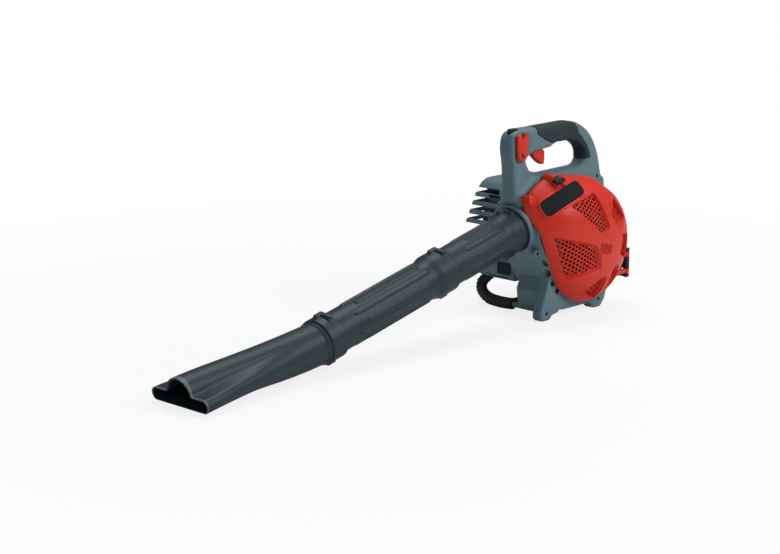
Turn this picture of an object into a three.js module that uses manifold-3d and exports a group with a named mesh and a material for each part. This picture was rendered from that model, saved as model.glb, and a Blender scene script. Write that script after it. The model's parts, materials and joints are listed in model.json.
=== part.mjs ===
// Hand-held petrol leaf blower, millimetres, +Z up, blowing towards -X, red intake cover on -Y.
import * as THREE from 'three';
import { mergeVertices } from 'three/addons/utils/BufferGeometryUtils.js';
import Module from 'manifold-3d';

const wasm = await Module();
wasm.setup();

// ---------- driving dimensions ----------
const GAP = 0.3;                  // clearance between pieces that meet
const RUN = 1.0;                  // clearance round turning pieces
const TWIST = 0.8;                // clearance of the tubes' turning sockets
const FAN_Z = 132;                // height of the fan and crank axis
const FACE_Y = -60;               // plane of the casing's left rim
const BACK_Y = 44;                // plane of the casing's engine side
const SEAM_Y = 0;                 // plane where the two casing halves meet
const SHELL_R = 109;              // radius of the casing round the fan
const SHELL_WALL = 3;
const NECK_X = -138;              // where the duct leaves the casing
const NECK_Z = 173;
const DUCT_PITCH = 13.5;          // downward slope of the duct, degrees
const NECK_R = 45.5;
const NECK_DEPTH = 20;            // how far the upper tube seats in the neck
const SCROLL_ROOM = 25;           // from the fan's rim to the casing's skin
const FAN_R = SHELL_R - SCROLL_ROOM;
const FAN_WIDTH = 60;
const SHAFT_R = 6;
const EYE_R = 56;                 // radius of the air inlet beside the fan
const EYE_Y = -42;                // plane of the inlet wall
const RIM_OVER = 3;               // how far the cover's rim stands out over the casing
const DOME_R = SHELL_R + RIM_OVER;
const DOME_DEPTH = 47;
const DOME_WALL = 2.6;
const HANDLE_W = 36;
const HANDLE_TOP = 358;
const HANDLE_THICK = 36;          // height of the handle's bar
const HAND_ROOM = 54;             // height of the hand's opening under the bar
const HANDLE_EDGE = 9;            // rounding of the handle
const HAND_FLOOR = HANDLE_TOP - HANDLE_THICK - HAND_ROOM;
const GRIP_THICK = 4;
const FOOT_BASE = 0;
const TUBE_R = 36.5;
const TUBE_WALL = 2.5;
const COLLAR_R = 41;
const UPPER_LEN = 200;            // length of the upper tube outside the neck
const LOWER_LEN = 288;
const NOZZLE_LEN = 344;
const MOUTH_W = 137;
const MOUTH_H = 23;
const MOUTH_DOME = 27;            // height and half width of the hump over the mouth
const HUMP_HALF = 31;
const ENGINE_Y = 84;              // plane of the cylinder and crank pin
const CRANK_R = 14;
const BORE_R = 17;
const ROD_LEN = 52;
const CASE_R = 34;                // crankcase
const COVER_TOP = 242;            // top of the engine cover
const COVER_X0 = -108;
const COVER_X1 = 42;
const COVER_Y0 = 44.3;
const COVER_Y1 = 143;
const TANK_Z0 = 53;
const TANK_Z1 = 98;
const REEL_R = 30;
const STARTER_Y = 116;            // inner face of the starter housing
const STARTER_R = 50;
const STARTER_DEPTH = 32;
const STAND_R = 8;
const STAND_X = -88;
const STAND_Y = 48;               // where the stand's bar meets the casing's spigot
const SCREW_R = 4;

const degrees = Math.PI / 180;
const pitch = DUCT_PITCH * degrees;

// ---------- materials ----------
function paint(color, roughness, metalness = 0) {
  return new THREE.MeshStandardMaterial({ color, roughness, metalness });
}
const greyPlastic = paint(0x66737a, 0.5);
const redPlastic = paint(0xd5301f, 0.38);
const ductPlastic = paint(0x26302f, 0.45);
const blackPlastic = paint(0x1c1e1f, 0.5);
const rubber = paint(0x202426, 0.8);
const steel = paint(0x9aa0a4, 0.35, 0.9);
const castAlloy = paint(0x8f9396, 0.55, 0.8);
const brass = paint(0xb08d4a, 0.4, 0.9);
const foam = paint(0x2b2f33, 0.95);

// ---------- solids ----------
function solid(geometry) {
  let bare = geometry.index ? geometry.toNonIndexed() : geometry.clone();
  bare.deleteAttribute('normal');
  bare.deleteAttribute('uv');
  bare = mergeVertices(bare, 1e-3);
  const triangles = [];
  const index = bare.index.array;
  for (let i = 0; i < index.length; i += 3) {
    const [a, b, c] = [index[i], index[i + 1], index[i + 2]];
    if (a !== b && b !== c && c !== a) triangles.push(a, b, c);
  }
  return new wasm.Manifold(new wasm.Mesh({
    numProp: 3,
    vertProperties: new Float32Array(bare.attributes.position.array),
    triVerts: new Uint32Array(triangles),
  }));
}

function geometryOf(body) {
  const mesh = body.getMesh();
  const geometry = new THREE.BufferGeometry();
  geometry.setAttribute('position', new THREE.BufferAttribute(new Float32Array(mesh.vertProperties), 3));
  geometry.setIndex(new THREE.BufferAttribute(new Uint32Array(mesh.triVerts), 1));
  return geometry;
}

function join(...bodies) {
  return bodies.reduce((sum, body) => sum.add(body));
}

function outline(points) {
  return new THREE.Shape(points.map(([x, y]) => new THREE.Vector2(x, y)));
}

// A flat outline in X and Z, thick from y0 to y1, with an optional rounded edge.
function slab(shape, y0, y1, edge = 0, steps = 1, curve = 8) {
  const geometry = new THREE.ExtrudeGeometry(shape, {
    depth: y1 - y0 - 2 * edge,
    bevelEnabled: edge > 0,
    bevelThickness: edge,
    bevelSize: edge,
    bevelOffset: -edge,
    bevelSegments: steps,
    curveSegments: curve,
  });
  geometry.translate(0, 0, edge);
  geometry.rotateX(Math.PI / 2);
  geometry.translate(0, y1, 0);
  return solid(geometry);
}

// A flat outline in X and Y, thick from z0 to z1.
function plate(shape, z0, z1, edge = 0, curve = 8) {
  const geometry = new THREE.ExtrudeGeometry(shape, {
    depth: z1 - z0 - 2 * edge,
    bevelEnabled: edge > 0,
    bevelThickness: edge,
    bevelSize: edge,
    bevelOffset: -edge,
    bevelSegments: 1,
    curveSegments: curve,
  });
  geometry.translate(0, 0, z0 + edge);
  return solid(geometry);
}

function block(x0, x1, y0, y1, z0, z1) {
  const geometry = new THREE.BoxGeometry(x1 - x0, y1 - y0, z1 - z0);
  geometry.translate((x0 + x1) / 2, (y0 + y1) / 2, (z0 + z1) / 2);
  return solid(geometry);
}

function rounded(x0, x1, y0, y1, radius) {
  const shape = new THREE.Shape();
  shape.moveTo(x0 + radius, y0);
  shape.lineTo(x1 - radius, y0);
  shape.absarc(x1 - radius, y0 + radius, radius, -Math.PI / 2, 0);
  shape.absarc(x1 - radius, y1 - radius, radius, 0, Math.PI / 2);
  shape.absarc(x0 + radius, y1 - radius, radius, Math.PI / 2, Math.PI);
  shape.absarc(x0 + radius, y0 + radius, radius, Math.PI, 1.5 * Math.PI);
  return shape;
}

// A round bar or disc along 'x', 'y' or 'z', from one end to the other.
function bar(axis, radius, from, to, a = 0, b = 0, sides = 16, radiusEnd = radius) {
  const geometry = new THREE.CylinderGeometry(radiusEnd, radius, to - from, sides);
  geometry.translate(0, (from + to) / 2, 0);
  if (axis === 'x') {
    geometry.rotateZ(-Math.PI / 2);
    geometry.translate(0, a, b);
  } else if (axis === 'z') {
    geometry.rotateX(Math.PI / 2);
    geometry.translate(a, b, 0);
  } else {
    geometry.translate(a, 0, b);
  }
  return solid(geometry);
}

// A turned form about Y: points are [radius, y], and close on themselves or on the axis.
function turned(points, sides = 32) {
  const first = points[0];
  const closed = first[0] > 0 ? [...points, first] : points;
  const profile = closed.map(([r, y]) => new THREE.Vector2(r, y));
  const geometry = new THREE.LatheGeometry(profile, sides);
  let body = solid(geometry);
  if (body.volume() < 0) {
    geometry.scale(-1, 1, 1);
    body = solid(geometry);
  }
  return body;
}

function moved(body, x, y, z) {
  return body.translate([x, y, z]);
}

const blower = new THREE.Group();
blower.name = 'leaf_blower';

function piece(name, body, material, parent = blower) {
  const mesh = new THREE.Mesh(geometryOf(body), material);
  mesh.name = name;
  parent.add(mesh);
  return mesh;
}

// ---------- casing ----------
// Side outline of the casing: round the fan, then up to the duct along two straight runs.
function casingOutline(inset, flat = 0) {
  const r = SHELL_R - inset;
  const shape = new THREE.Shape();
  const start = 210 * degrees;
  const end = (360 + 62) * degrees;
  shape.absarc(0, FAN_Z, r, start, end, false);
  shape.lineTo(4, 249 - inset - flat);
  shape.lineTo(NECK_X - 4 + inset, NECK_Z + NECK_R - 2 - inset - flat);
  shape.lineTo(NECK_X - 2 + inset, NECK_Z - 12);
  shape.closePath();
  return shape;
}

// A round bar along the sloping duct axis, its distances measured from the neck.
function onDuct(geometry) {
  geometry.rotateZ(Math.PI / 2);
  geometry.rotateY(-pitch);
  geometry.translate(NECK_X, 0, NECK_Z);
  return solid(geometry);
}

function ductBar(radius, from, to, sides = 24, radiusEnd = radius) {
  const geometry = new THREE.CylinderGeometry(radiusEnd, radius, to - from, sides);
  geometry.translate(0, (from + to) / 2, 0);
  return onDuct(geometry);
}

// Closed handle, outer line and opening; a positive inset shrinks it for the core under the grip.
function handleShape() {
  const shape = new THREE.Shape();
  shape.moveTo(-160, HAND_FLOOR - 46);
  shape.lineTo(0, HAND_FLOOR - 30);
  shape.lineTo(60, HAND_FLOOR - 63);
  shape.lineTo(96, HAND_FLOOR - 24);
  shape.lineTo(90, HAND_FLOOR);
  shape.bezierCurveTo(78, HANDLE_TOP - 40, 45, HANDLE_TOP, -10, HANDLE_TOP);
  shape.lineTo(-140, HANDLE_TOP - 1);
  shape.quadraticCurveTo(-157, HANDLE_TOP - 1, -164, HANDLE_TOP - 9);
  shape.quadraticCurveTo(-173, HANDLE_TOP - 22, -169, HANDLE_TOP - 46);
  shape.quadraticCurveTo(-164, HANDLE_TOP - 62, -163, HAND_FLOOR - 6);
  shape.closePath();
  const ceiling = HANDLE_TOP - HANDLE_THICK;
  const hole = new THREE.Path();
  hole.moveTo(-112, HAND_FLOOR + 8);
  hole.quadraticCurveTo(-126, HAND_FLOOR + 22, -127, HAND_FLOOR + 32);
  hole.lineTo(-110, ceiling - 12);
  hole.lineTo(-56, ceiling - 7);
  hole.lineTo(-40, ceiling);
  hole.lineTo(-8, ceiling);
  hole.bezierCurveTo(22, ceiling - 2, 45, HAND_FLOOR + 36, 44, HAND_FLOOR + 18);
  hole.quadraticCurveTo(43, HAND_FLOOR + 4, 26, HAND_FLOOR + 2);
  hole.lineTo(-90, HAND_FLOOR);
  hole.quadraticCurveTo(-103, HAND_FLOOR, -112, HAND_FLOOR + 8);
  shape.holes.push(hole);
  return shape;
}

function handleBody(inset) {
  const geometry = new THREE.ExtrudeGeometry(handleShape(), {
    depth: HANDLE_W - 2 * HANDLE_EDGE,
    bevelEnabled: true,
    bevelThickness: HANDLE_EDGE - inset,
    bevelSize: HANDLE_EDGE - inset,
    bevelOffset: -HANDLE_EDGE,
    bevelSegments: 2,
    curveSegments: 4,
  });
  geometry.rotateX(Math.PI / 2);
  geometry.translate(0, HANDLE_W / 2 - HANDLE_EDGE, 0);
  return solid(geometry);
}

// Side region that the rubber grip covers.
function gripRegion(extra) {
  const top = HANDLE_TOP + 22;
  const shape = outline([
    [-102 - extra, top], [-98 - extra, top - 36], [-72 - extra, top - 50 - extra],
    [-40 - extra, top - 62 - extra], [-20, top - 80], [30, top - 100 - extra],
    [58 + extra, top - 97 - extra], [48 + extra, top - 74], [20 + extra, top - 44], [-2 + extra, top],
  ]);
  return slab(shape, -HANDLE_W, HANDLE_W);
}

// A point of the casing's side, a given depth under its round skin.
function underSkin(angle, depth) {
  const r = SHELL_R - depth;
  return [r * Math.cos(angle * degrees), FAN_Z + r * Math.sin(angle * degrees)];
}

const LUG_X = -132;                // screw lug under the duct
const LUG_Z = 130;
const FOOT_FACE = FACE_Y + 4;
const footShape = outline([
  underSkin(200, 5), [-116, 44], [-127, 18], [-127, 5], [-121, FOOT_BASE], [-101, FOOT_BASE],
  [-93, 8], [-78, 10], [-70, 16], [-60, 16], underSkin(237, 4), underSkin(223, 4),
]);
const rearFootShape = outline([
  underSkin(279, 16), [18, 14], [26, 2], [32, FOOT_BASE], [50, FOOT_BASE], [62, 12], [70, 34],
  underSkin(310, 15),
]);
const skirtShape = outline([
  underSkin(220, 2), [-78, 16], [-62, 13], [0, 13], [24, 12], [60, 12], underSkin(307, 6), underSkin(270, 7),
]);
const gussetShape = outline([
  underSkin(206, 12), [-106, 50], [-102, 22], [-95, 8], [-81, 8], underSkin(233, 4), underSkin(222, 12),
]);
const webShape = outline([
  [-157, 240], [-150, 214], [-120, 206], [0, 200], [60, HAND_FLOOR - 63], [100, HAND_FLOOR - 68], [98, HAND_FLOOR - 28],
  [60, HAND_FLOOR - 6], [-60, HAND_FLOOR - 6], [-110, HAND_FLOOR + 4],
]);

// Casing screws, each at the bottom of a round pocket: name, x, z and the face it is sunk into.
const POCKET = 3;
const WEB_FACE = -24;
const caseScrews = [
  ['case_screw_duct', LUG_X, LUG_Z, -50],
  ['case_screw_foot', -110, 14, FOOT_FACE],
  ['case_screw_rear_foot', 44, 16, FOOT_FACE],
  ['case_screw_handle', 72, HAND_FLOOR - 22, WEB_FACE],
];

let casing = slab(casingOutline(0), FACE_Y, BACK_Y, 3, 1, 10);
casing = join(
  casing,
  ductBar(NECK_R, -70, 4),
  ductBar(NECK_R + 3, 0, 12),
  handleBody(0),
  slab(webShape, WEB_FACE, 30, 6),
  slab(footShape, FOOT_FACE, -34, 2),
  slab(rearFootShape, FOOT_FACE, -34, 2),
  slab(skirtShape, FACE_Y + 5, FACE_Y + 12, 1),
  slab(gussetShape, -40, 24, 2),
  bar('y', 7.5, -50, -20, LUG_X, LUG_Z, 16),
  bar('y', STAND_R - 2, -40, STAND_Y - 3, STAND_X, STAND_R + 4, 16),
);

// Room inside: the chamber behind the cover, the inlet, and the scroll round the fan.
const scroll = new THREE.Shape();
const SCROLL_R0 = FAN_R + 6;
const SCROLL_R1 = FAN_R + 24;
for (let i = 0; i <= 20; i += 1) {
  const angle = (175 + i * 14) * degrees;
  const r = SCROLL_R0 + (SCROLL_R1 - SCROLL_R0) * i / 20;
  const x = r * Math.cos(angle);
  const z = FAN_Z + r * Math.sin(angle);
  if (i === 0) scroll.moveTo(x, z);
  else scroll.lineTo(x, z);
}
scroll.lineTo(-70, NECK_Z + 68 * Math.tan(pitch) + 34);
scroll.lineTo(-FAN_R + 8, NECK_Z + 10);
scroll.closePath();
casing = casing
  .subtract(slab(casingOutline(SHELL_WALL), FACE_Y - 1, EYE_Y - 3, 0, 1, 10))
  .subtract(slab(scroll, EYE_Y, BACK_Y - SHELL_WALL))
  .subtract(ductBar(TUBE_R - TUBE_WALL, -80, 20))
  .subtract(ductBar(COLLAR_R + TWIST, -NECK_DEPTH, COLLAR_R))
  .subtract(bar('y', EYE_R, EYE_Y - 10, EYE_Y + 4, 0, FAN_Z, 28))
  .subtract(bar('y', SHAFT_R + RUN, 30, 50, 0, FAN_Z));
for (const [, x, z, face] of caseScrews) {
  casing = casing.subtract(bar('y', SCREW_R + GAP, face - 5, face + POCKET, x, z, 12));
}

// Air slots in the rim beside the cover.
for (let i = 0; i < 5; i += 1) {
  const angle = (181 + i * 11) * degrees;
  const slot = new THREE.BoxGeometry(20, 12, 12);
  slot.rotateY(-angle);
  slot.translate(SHELL_R * Math.cos(angle) * 1.0, FACE_Y + 11, FAN_Z + SHELL_R * Math.sin(angle));
  casing = casing.subtract(solid(slot));
}

// Grip: a rubber sleeve round the handle's core.
const gripCore = handleBody(GRIP_THICK + GAP);
casing = casing.subtract(handleBody(-1).subtract(gripCore).intersect(gripRegion(GAP)));
const grip = handleBody(0).subtract(handleBody(GRIP_THICK)).intersect(gripRegion(0));
piece('handle_grip', grip, rubber);

// Trigger: a finger lever on a pin inside the handle, coming out through a slot.
const TRIGGER_X = -96;
const TRIGGER_Z = HANDLE_TOP - 32;
const TRIGGER_W = 12;
const triggerShape = outline([
  [-8, 6], [-9, -6], [-6, -16], [2, -26], [16, -37], [25, -42], [31, -42],
  [33, -30], [32, -17], [20, -10], [8, -3], [6, 6],
]);
const triggerPocket = outline([
  [-13, 9], [-14, -8], [-12, -30], [42, -30], [42, -8], [24, -4], [10, 9],
]);
const placeTrigger = body => moved(body, TRIGGER_X, 0, TRIGGER_Z);
casing = casing
  .subtract(placeTrigger(slab(triggerPocket, -TRIGGER_W / 2 - RUN, TRIGGER_W / 2 + RUN)))
  .subtract(bar('y', 2 + GAP / 2, -10, 10, TRIGGER_X, TRIGGER_Z, 16));
const trigger = placeTrigger(slab(triggerShape, -TRIGGER_W / 2, TRIGGER_W / 2, 1.5))
  .subtract(bar('y', 2 + GAP, -10, 10, TRIGGER_X, TRIGGER_Z, 16));
piece('throttle_trigger', trigger, redPlastic);
piece('trigger_pin', bar('y', 2, -9.6, 9.6, TRIGGER_X, TRIGGER_Z, 16), steel);

// Throttle-hold lever on the left of the front post, with its screw.
const LEVER_X = -145;
const LEVER_Z = HANDLE_TOP - 47;
const leverShape = outline([
  [-11, -1], [-12, 12], [-13, 30], [-12, 37], [-6, 39], [0, 29], [6, 41], [12, 39],
  [13, 30], [11, 8], [10, -4], [5, -11], [-4, -11], [-9, -7],
]);
const leverSlot = outline([[-17, -15], [-18, 42], [30, 43], [17, -15]]);
casing = casing
  .subtract(moved(slab(leverSlot, -HANDLE_W / 2 - 4, -HANDLE_W / 2 + 2.5), LEVER_X, 0, LEVER_Z))
  .subtract(bar('y', 2.6, -HANDLE_W / 2 - 2, -8, LEVER_X, LEVER_Z, 16));
const lever = moved(slab(leverShape, -HANDLE_W / 2 - 6, -HANDLE_W / 2 + 2, 2), LEVER_X, 0, LEVER_Z)
  .subtract(bar('y', 3, -40, 0, LEVER_X, LEVER_Z, 16))
  .subtract(bar('y', 4.6, -40, -HANDLE_W / 2 - 3, LEVER_X, LEVER_Z, 16));
piece('cruise_lever', lever, redPlastic);
const leverScrew = join(
  bar('y', 4.2, -HANDLE_W / 2 - 6.6, -HANDLE_W / 2 - 3.3, LEVER_X, LEVER_Z, 16),
  bar('y', 2.3, -HANDLE_W / 2 - 4, -9, LEVER_X, LEVER_Z, 16),
);
piece('lever_screw', leverScrew, steel);

// Stop switch: a rocker in an oval pocket on top of the front post.
const SWITCH_X = -150;
const ovalSwitch = (grow) => {
  const shape = new THREE.Shape();
  shape.absellipse(0, 0, 12 + grow, 6.5 + grow, 0, 2 * Math.PI);
  return shape;
};
const placeSwitch = body => moved(body, SWITCH_X, 0, HANDLE_TOP);
casing = casing
  .subtract(placeSwitch(plate(ovalSwitch(GAP + 0.5), -13, 5)))
  .subtract(bar('y', 1.3, -9.5, 9.5, SWITCH_X, HANDLE_TOP - 6, 12));
const switchBody = join(
  placeSwitch(plate(ovalSwitch(0), -7, 0.6, 1)),
  bar('y', 1.1, -9, 9, SWITCH_X, HANDLE_TOP - 6, 12),
);
piece('stop_switch', switchBody, blackPlastic);


// ---------- intake cover ----------
// Rim of the cover as seen from the side, from the fan axis: straight runs, then the circle.
const onRim = degree => [DOME_R * Math.cos(degree * degrees), DOME_R * Math.sin(degree * degrees)];
const rimCorner = [
  onRim(62.3), [8, 125], [-38, 134], [-88, 135], [-134, 114], [-150, 96], [-151, 72],
  [-140, 40], onRim(209.4),
];
function rimRadius(angle) {
  const [c, n] = [Math.cos(angle), Math.sin(angle)];
  let r = DOME_R;
  for (let i = 0; i + 1 < rimCorner.length; i += 1) {
    const [[x1, z1], [x2, z2]] = [rimCorner[i], rimCorner[i + 1]];
    const between = x1 * n - z1 * c > 0 && x2 * n - z2 * c <= 0;
    if (between && x1 * c + z1 * n > 0) {
      r = (x1 * (z2 - z1) - z1 * (x2 - x1)) / (c * (z2 - z1) - n * (x2 - x1));
    }
  }
  return r;
}

// How far the rim runs back over the casing at the corner by the duct.
const CORNER_BACK = 30;
function cornerBack(angle) {
  const deg = ((angle / degrees) % 360 + 360) % 360;
  const rise = THREE.MathUtils.smoothstep(deg, 88, 122);
  const fall = 1 - THREE.MathUtils.smoothstep(deg, 150, 166);
  return CORNER_BACK * rise * fall;
}

// Height of the dome over its rim plane, from the middle (0) to the rim (1).
const domeSteps = [[0, 1], [0.24, 0.97], [0.55, 0.8], [0.8, 0.56], [0.94, 0.27], [1, 0]];
function domePoint(angle, share, height, inset) {
  const r = share * (rimRadius(angle) - inset);
  const back = cornerBack(angle) * share ** 5;
  return [r * Math.cos(angle), FACE_Y - GAP - height * DOME_DEPTH + inset + back, FAN_Z + r * Math.sin(angle)];
}

// The dome as a filled body whose surface lies inset under the outer one.
function dome(inset, reach = 0, sides = 32) {
  const rows = [...domeSteps, [1, 'back'], [0.8, 'back'], [0, 'back']];
  const profile = rows.map(([share], i) => new THREE.Vector2(share, i));
  const geometry = new THREE.LatheGeometry(profile, sides);
  const position = geometry.attributes.position;
  for (let i = 0; i < position.count; i += 1) {
    const row = rows[Math.round(position.getY(i))];
    const angle = Math.floor(i / rows.length) % sides * 2 * Math.PI / sides;
    const [share, height] = row;
    if (height === 'back') {
      const [x, , z] = domePoint(angle, share, 0, inset);
      const flare = reach > 5 ? share * 40 : 0;
      position.setXYZ(i, x, FACE_Y - GAP + reach + share ** 4 * cornerBack(angle) + flare, z);
    } else {
      position.setXYZ(i, ...domePoint(angle, share, height, inset));
    }
  }
  let body = solid(geometry);
  if (body.volume() < 0) {
    const index = Array.from(geometry.index.array);
    for (let k = 0; k < index.length; k += 3) [index[k], index[k + 1]] = [index[k + 1], index[k]];
    geometry.setIndex(index);
    body = solid(geometry);
  }
  return body;
}

// The casing gives way where the cover's corner wraps over it, then parts into two halves.
casing = casing.subtract(dome(-GAP, GAP * 2.2)).subtract(block(-146, -120, FACE_Y - 1, -45.8, 182, 222));
const caseLeft = casing.subtract(block(-300, 300, SEAM_Y - GAP / 2, 200, -50, 500));
const caseRight = casing.subtract(block(-300, 300, -200, SEAM_Y + GAP / 2, -50, 500));
piece('case_left', caseLeft, greyPlastic);
piece('case_right', caseRight, greyPlastic);

// Corners of the windows from the fan axis, as shares of the cover's radius.
const windows = [
  [[-0.71, 0.75], [-0.14, 0.87], [0.08, 0.32], [-0.05, 0.2]],
  [[-1.05, 0.27], [-0.73, -0.46], [-0.14, -0.34], [-0.18, -0.08], [-0.32, 0.04]],
  [[-0.32, -0.75], [-0.09, -0.87], [0.07, -0.9], [0.09, -0.61], [0, -0.54]],
  [[0.23, -0.79], [0.39, -0.73], [0.52, -0.54], [0.37, -0.39], [0.27, -0.46]],
  [[0.75, -0.32], [0.79, 0.05], [0.5, 0.13], [0.45, -0.18]],
  [[0.64, 0.39], [0.43, 0.7], [0.21, 0.52], [0.41, 0.25]],
].map(corners => corners.map(([x, z]) => [x * DOME_R, z * DOME_R]));
const HEX_R = 5;
const HEX_PITCH = 13;
const WINDOW_SINK = 5;
const WINDOW_WALL = 2;

function grown(points, extra) {
  const cx = points.reduce((sum, p) => sum + p[0], 0) / points.length;
  const cz = points.reduce((sum, p) => sum + p[1], 0) / points.length;
  return points.map(([x, z]) => {
    const reach = Math.hypot(x - cx, z - cz);
    return [x + (x - cx) / reach * extra, z + (z - cz) / reach * extra];
  });
}

function contains(points, x, z, margin) {
  return points.every(([x1, z1], i) => {
    const [x2, z2] = points[(i + 1) % points.length];
    const side = (x2 - x1) * (z - z1) - (z2 - z1) * (x - x1);
    return Math.sign(areaOf(points)) * side / Math.hypot(x2 - x1, z2 - z1) > margin;
  });
}

function areaOf(points) {
  return points.reduce((sum, [x1, z1], i) => {
    const [x2, z2] = points[(i + 1) % points.length];
    return sum + x1 * z2 - x2 * z1;
  }, 0) / 2;
}

const windowPrism = points => moved(slab(outline(points), -160, -45), 0, 0, FAN_Z);
const openings = join(...windows.map(points => windowPrism(points)));
const frames = join(...windows.map(points => windowPrism(grown(points, WINDOW_WALL * 1.4))));
const IN_WALL = DOME_WALL / 2;    // depth in the wall at which the window pans start
const pans = frames.intersect(dome(IN_WALL, 0, 16).subtract(dome(WINDOW_SINK + WINDOW_WALL, 30, 16)));
let cover = dome(0).subtract(dome(DOME_WALL, 30, 16));
cover = cover.add(pans).subtract(openings.subtract(dome(WINDOW_SINK, 0, 16)));
const hexes = [];
for (const points of windows) {
  for (let row = -12; row <= 12; row += 1) {
    for (let column = -12; column <= 12; column += 1) {
      const x = (column + (row % 2) / 2) * HEX_PITCH;
      const z = row * HEX_PITCH * Math.sqrt(3) / 2;
      if (contains(points, x, z, HEX_R + 0.6)) {
        hexes.push(bar('y', HEX_R, -140, -60, x, FAN_Z + z, 6));
      }
    }
  }
}
cover = cover.subtract(join(...hexes));
for (let i = -2; i <= 2; i += 1) {
  const slot = new THREE.BoxGeometry(2.6, 20, 20);
  slot.rotateY(12 * degrees);
  slot.translate(i * 6 - 2, FACE_Y - DOME_DEPTH, FAN_Z - 4 - i * 1.2);
  cover = cover.subtract(solid(slot));
}

// Badge seat: a flat on the corner facet, with a bare plate on it.
const BADGE_L = 94;
const BADGE_W = 31;
const BADGE_T = 2;
const badgeFrame = new THREE.Matrix4();
{
  const along = new THREE.Vector3(0.84, -0.29, 0.46).normalize();
  const across = new THREE.Vector3(-0.23, 0.62, 0.75);
  const normal = new THREE.Vector3().crossVectors(across, along).normalize().negate();
  across.crossVectors(normal, along).normalize();
  badgeFrame.makeBasis(along, across, normal).setPosition(-88, -66.5, 228);
}
function onBadge(shape, z0, z1, edge = 0) {
  const body = geometryOf(plate(shape, z0, z1, edge, 3));
  body.applyMatrix4(badgeFrame);
  return solid(body);
}
function badgeOutline(grow) {
  const [l, w] = [BADGE_L / 2 + grow, BADGE_W / 2 + grow];
  return rounded(-l, l, -w, w, 9);
}
const badgePad = onBadge(badgeOutline(4), -9, 16);
cover = join(cover, badgePad.intersect(dome(0.1)).subtract(dome(DOME_WALL + 6, 30, 16)));
cover = cover.subtract(onBadge(badgeOutline(GAP), 0, 22));
piece('badge_plate', onBadge(badgeOutline(0), GAP, GAP + BADGE_T, 0.6), blackPlastic);

// Locating lug by the duct, and the boss for the thumb screw.
const KNOB_X = -86;
const KNOB_Z = 262;
const KNOB_Y = -52;
cover = join(
  cover,
  bar('y', 8.5, -46, -26, -145, 231, 16),
  bar('y', 9.5, KNOB_Y, -26, KNOB_X, KNOB_Z, 16),
).subtract(bar('y', 3 + GAP, KNOB_Y - 2, -20, KNOB_X, KNOB_Z, 16));
cover = cover.subtract(bar('y', 18, -90, KNOB_Y, KNOB_X, KNOB_Z, 24));
const knobWing = new THREE.Shape();
knobWing.absellipse(0, 0, 15, 6.5, 0, 2 * Math.PI);
const knob = join(
  moved(slab(knobWing, KNOB_Y - 13, KNOB_Y - GAP, 2), KNOB_X, 0, KNOB_Z),
  bar('y', 8, KNOB_Y - 7, KNOB_Y - GAP, KNOB_X, KNOB_Z, 16),
  bar('y', 3, KNOB_Y - 4, -25, KNOB_X, KNOB_Z, 16),
);
piece('cover_knob', knob, blackPlastic);

// Rear hinge: two knuckles on the cover, one on a bracket of the casing, and the pin.
const HINGE_X = DOME_R + 2;
const HINGE_Y = FACE_Y - 6;
const HINGE_Z = [50, 106];
const HINGE_R = 6;
const PIN_R = 2.5;
for (const [z0, z1] of [[57, 66], [90, 99]]) {
  const root = Math.sqrt(DOME_R ** 2 - (FAN_Z - z0) ** 2) - 4;
  const arm = block(root, HINGE_X, HINGE_Y - 3, HINGE_Y + 3, z0, z1);
  cover = join(cover, arm, bar('z', HINGE_R, z0, z1, HINGE_X, HINGE_Y, 16));
}
cover = cover.subtract(bar('z', PIN_R + GAP, 40, 120, HINGE_X, HINGE_Y, 16));
piece('fan_cover', cover, redPlastic);
let bracket = join(
  block(HINGE_X - 18, HINGE_X + 4, FACE_Y + 7, FACE_Y + 12, HINGE_Z[0], HINGE_Z[1]),
  block(HINGE_X - 4, HINGE_X + 4, HINGE_Y, FACE_Y + 12, 66 + GAP, 90 - GAP),
  bar('z', HINGE_R, 66 + GAP, 90 - GAP, HINGE_X, HINGE_Y, 16),
);
for (const z of [HINGE_Z[0], HINGE_Z[1] - 6]) {
  bracket = join(
    bracket,
    block(HINGE_X - 4, HINGE_X + 4, HINGE_Y, FACE_Y + 12, z, z + 6),
    bar('z', HINGE_R, z, z + 6, HINGE_X, HINGE_Y, 16),
  );
}
bracket = bracket
  .subtract(bar('z', PIN_R + GAP, 40, 120, HINGE_X, HINGE_Y, 16))
  .subtract(slab(casingOutline(-GAP), FACE_Y, BACK_Y, 0, 1, 10));
piece('hinge_bracket', bracket, blackPlastic);
piece('hinge_pin', bar('z', PIN_R, HINGE_Z[0] - 2, HINGE_Z[1] + 2, HINGE_X, HINGE_Y, 16), steel);

// ---------- blow tubes and nozzle ----------
const SOCKET = 40;
const OVERLAP = 34;
const RIB_COUNT = 10;

function ductTurned(points) {
  const first = points[0];
  const profile = [...points, first].map(([r, t]) => new THREE.Vector2(r, t));
  const geometry = new THREE.LatheGeometry(profile, 24);
  const index = Array.from(geometry.index.array);
  for (let k = 0; k < index.length; k += 3) [index[k], index[k + 1]] = [index[k + 1], index[k]];
  let body = onDuct(geometry);
  if (body.volume() < 0) {
    geometry.setIndex(index);
    geometry.deleteAttribute('normal');
    body = solid(geometry);
  }
  return body;
}

function hook(at, turn) {
  const a = new THREE.BoxGeometry(8, 18, 9);
  a.translate(COLLAR_R + 1, at, 0);
  const b = new THREE.BoxGeometry(8, 7, 18);
  b.translate(COLLAR_R + 1, at + 8, 4);
  a.rotateY(turn);
  b.rotateY(turn);
  return onDuct(a).add(onDuct(b));
}

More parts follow.
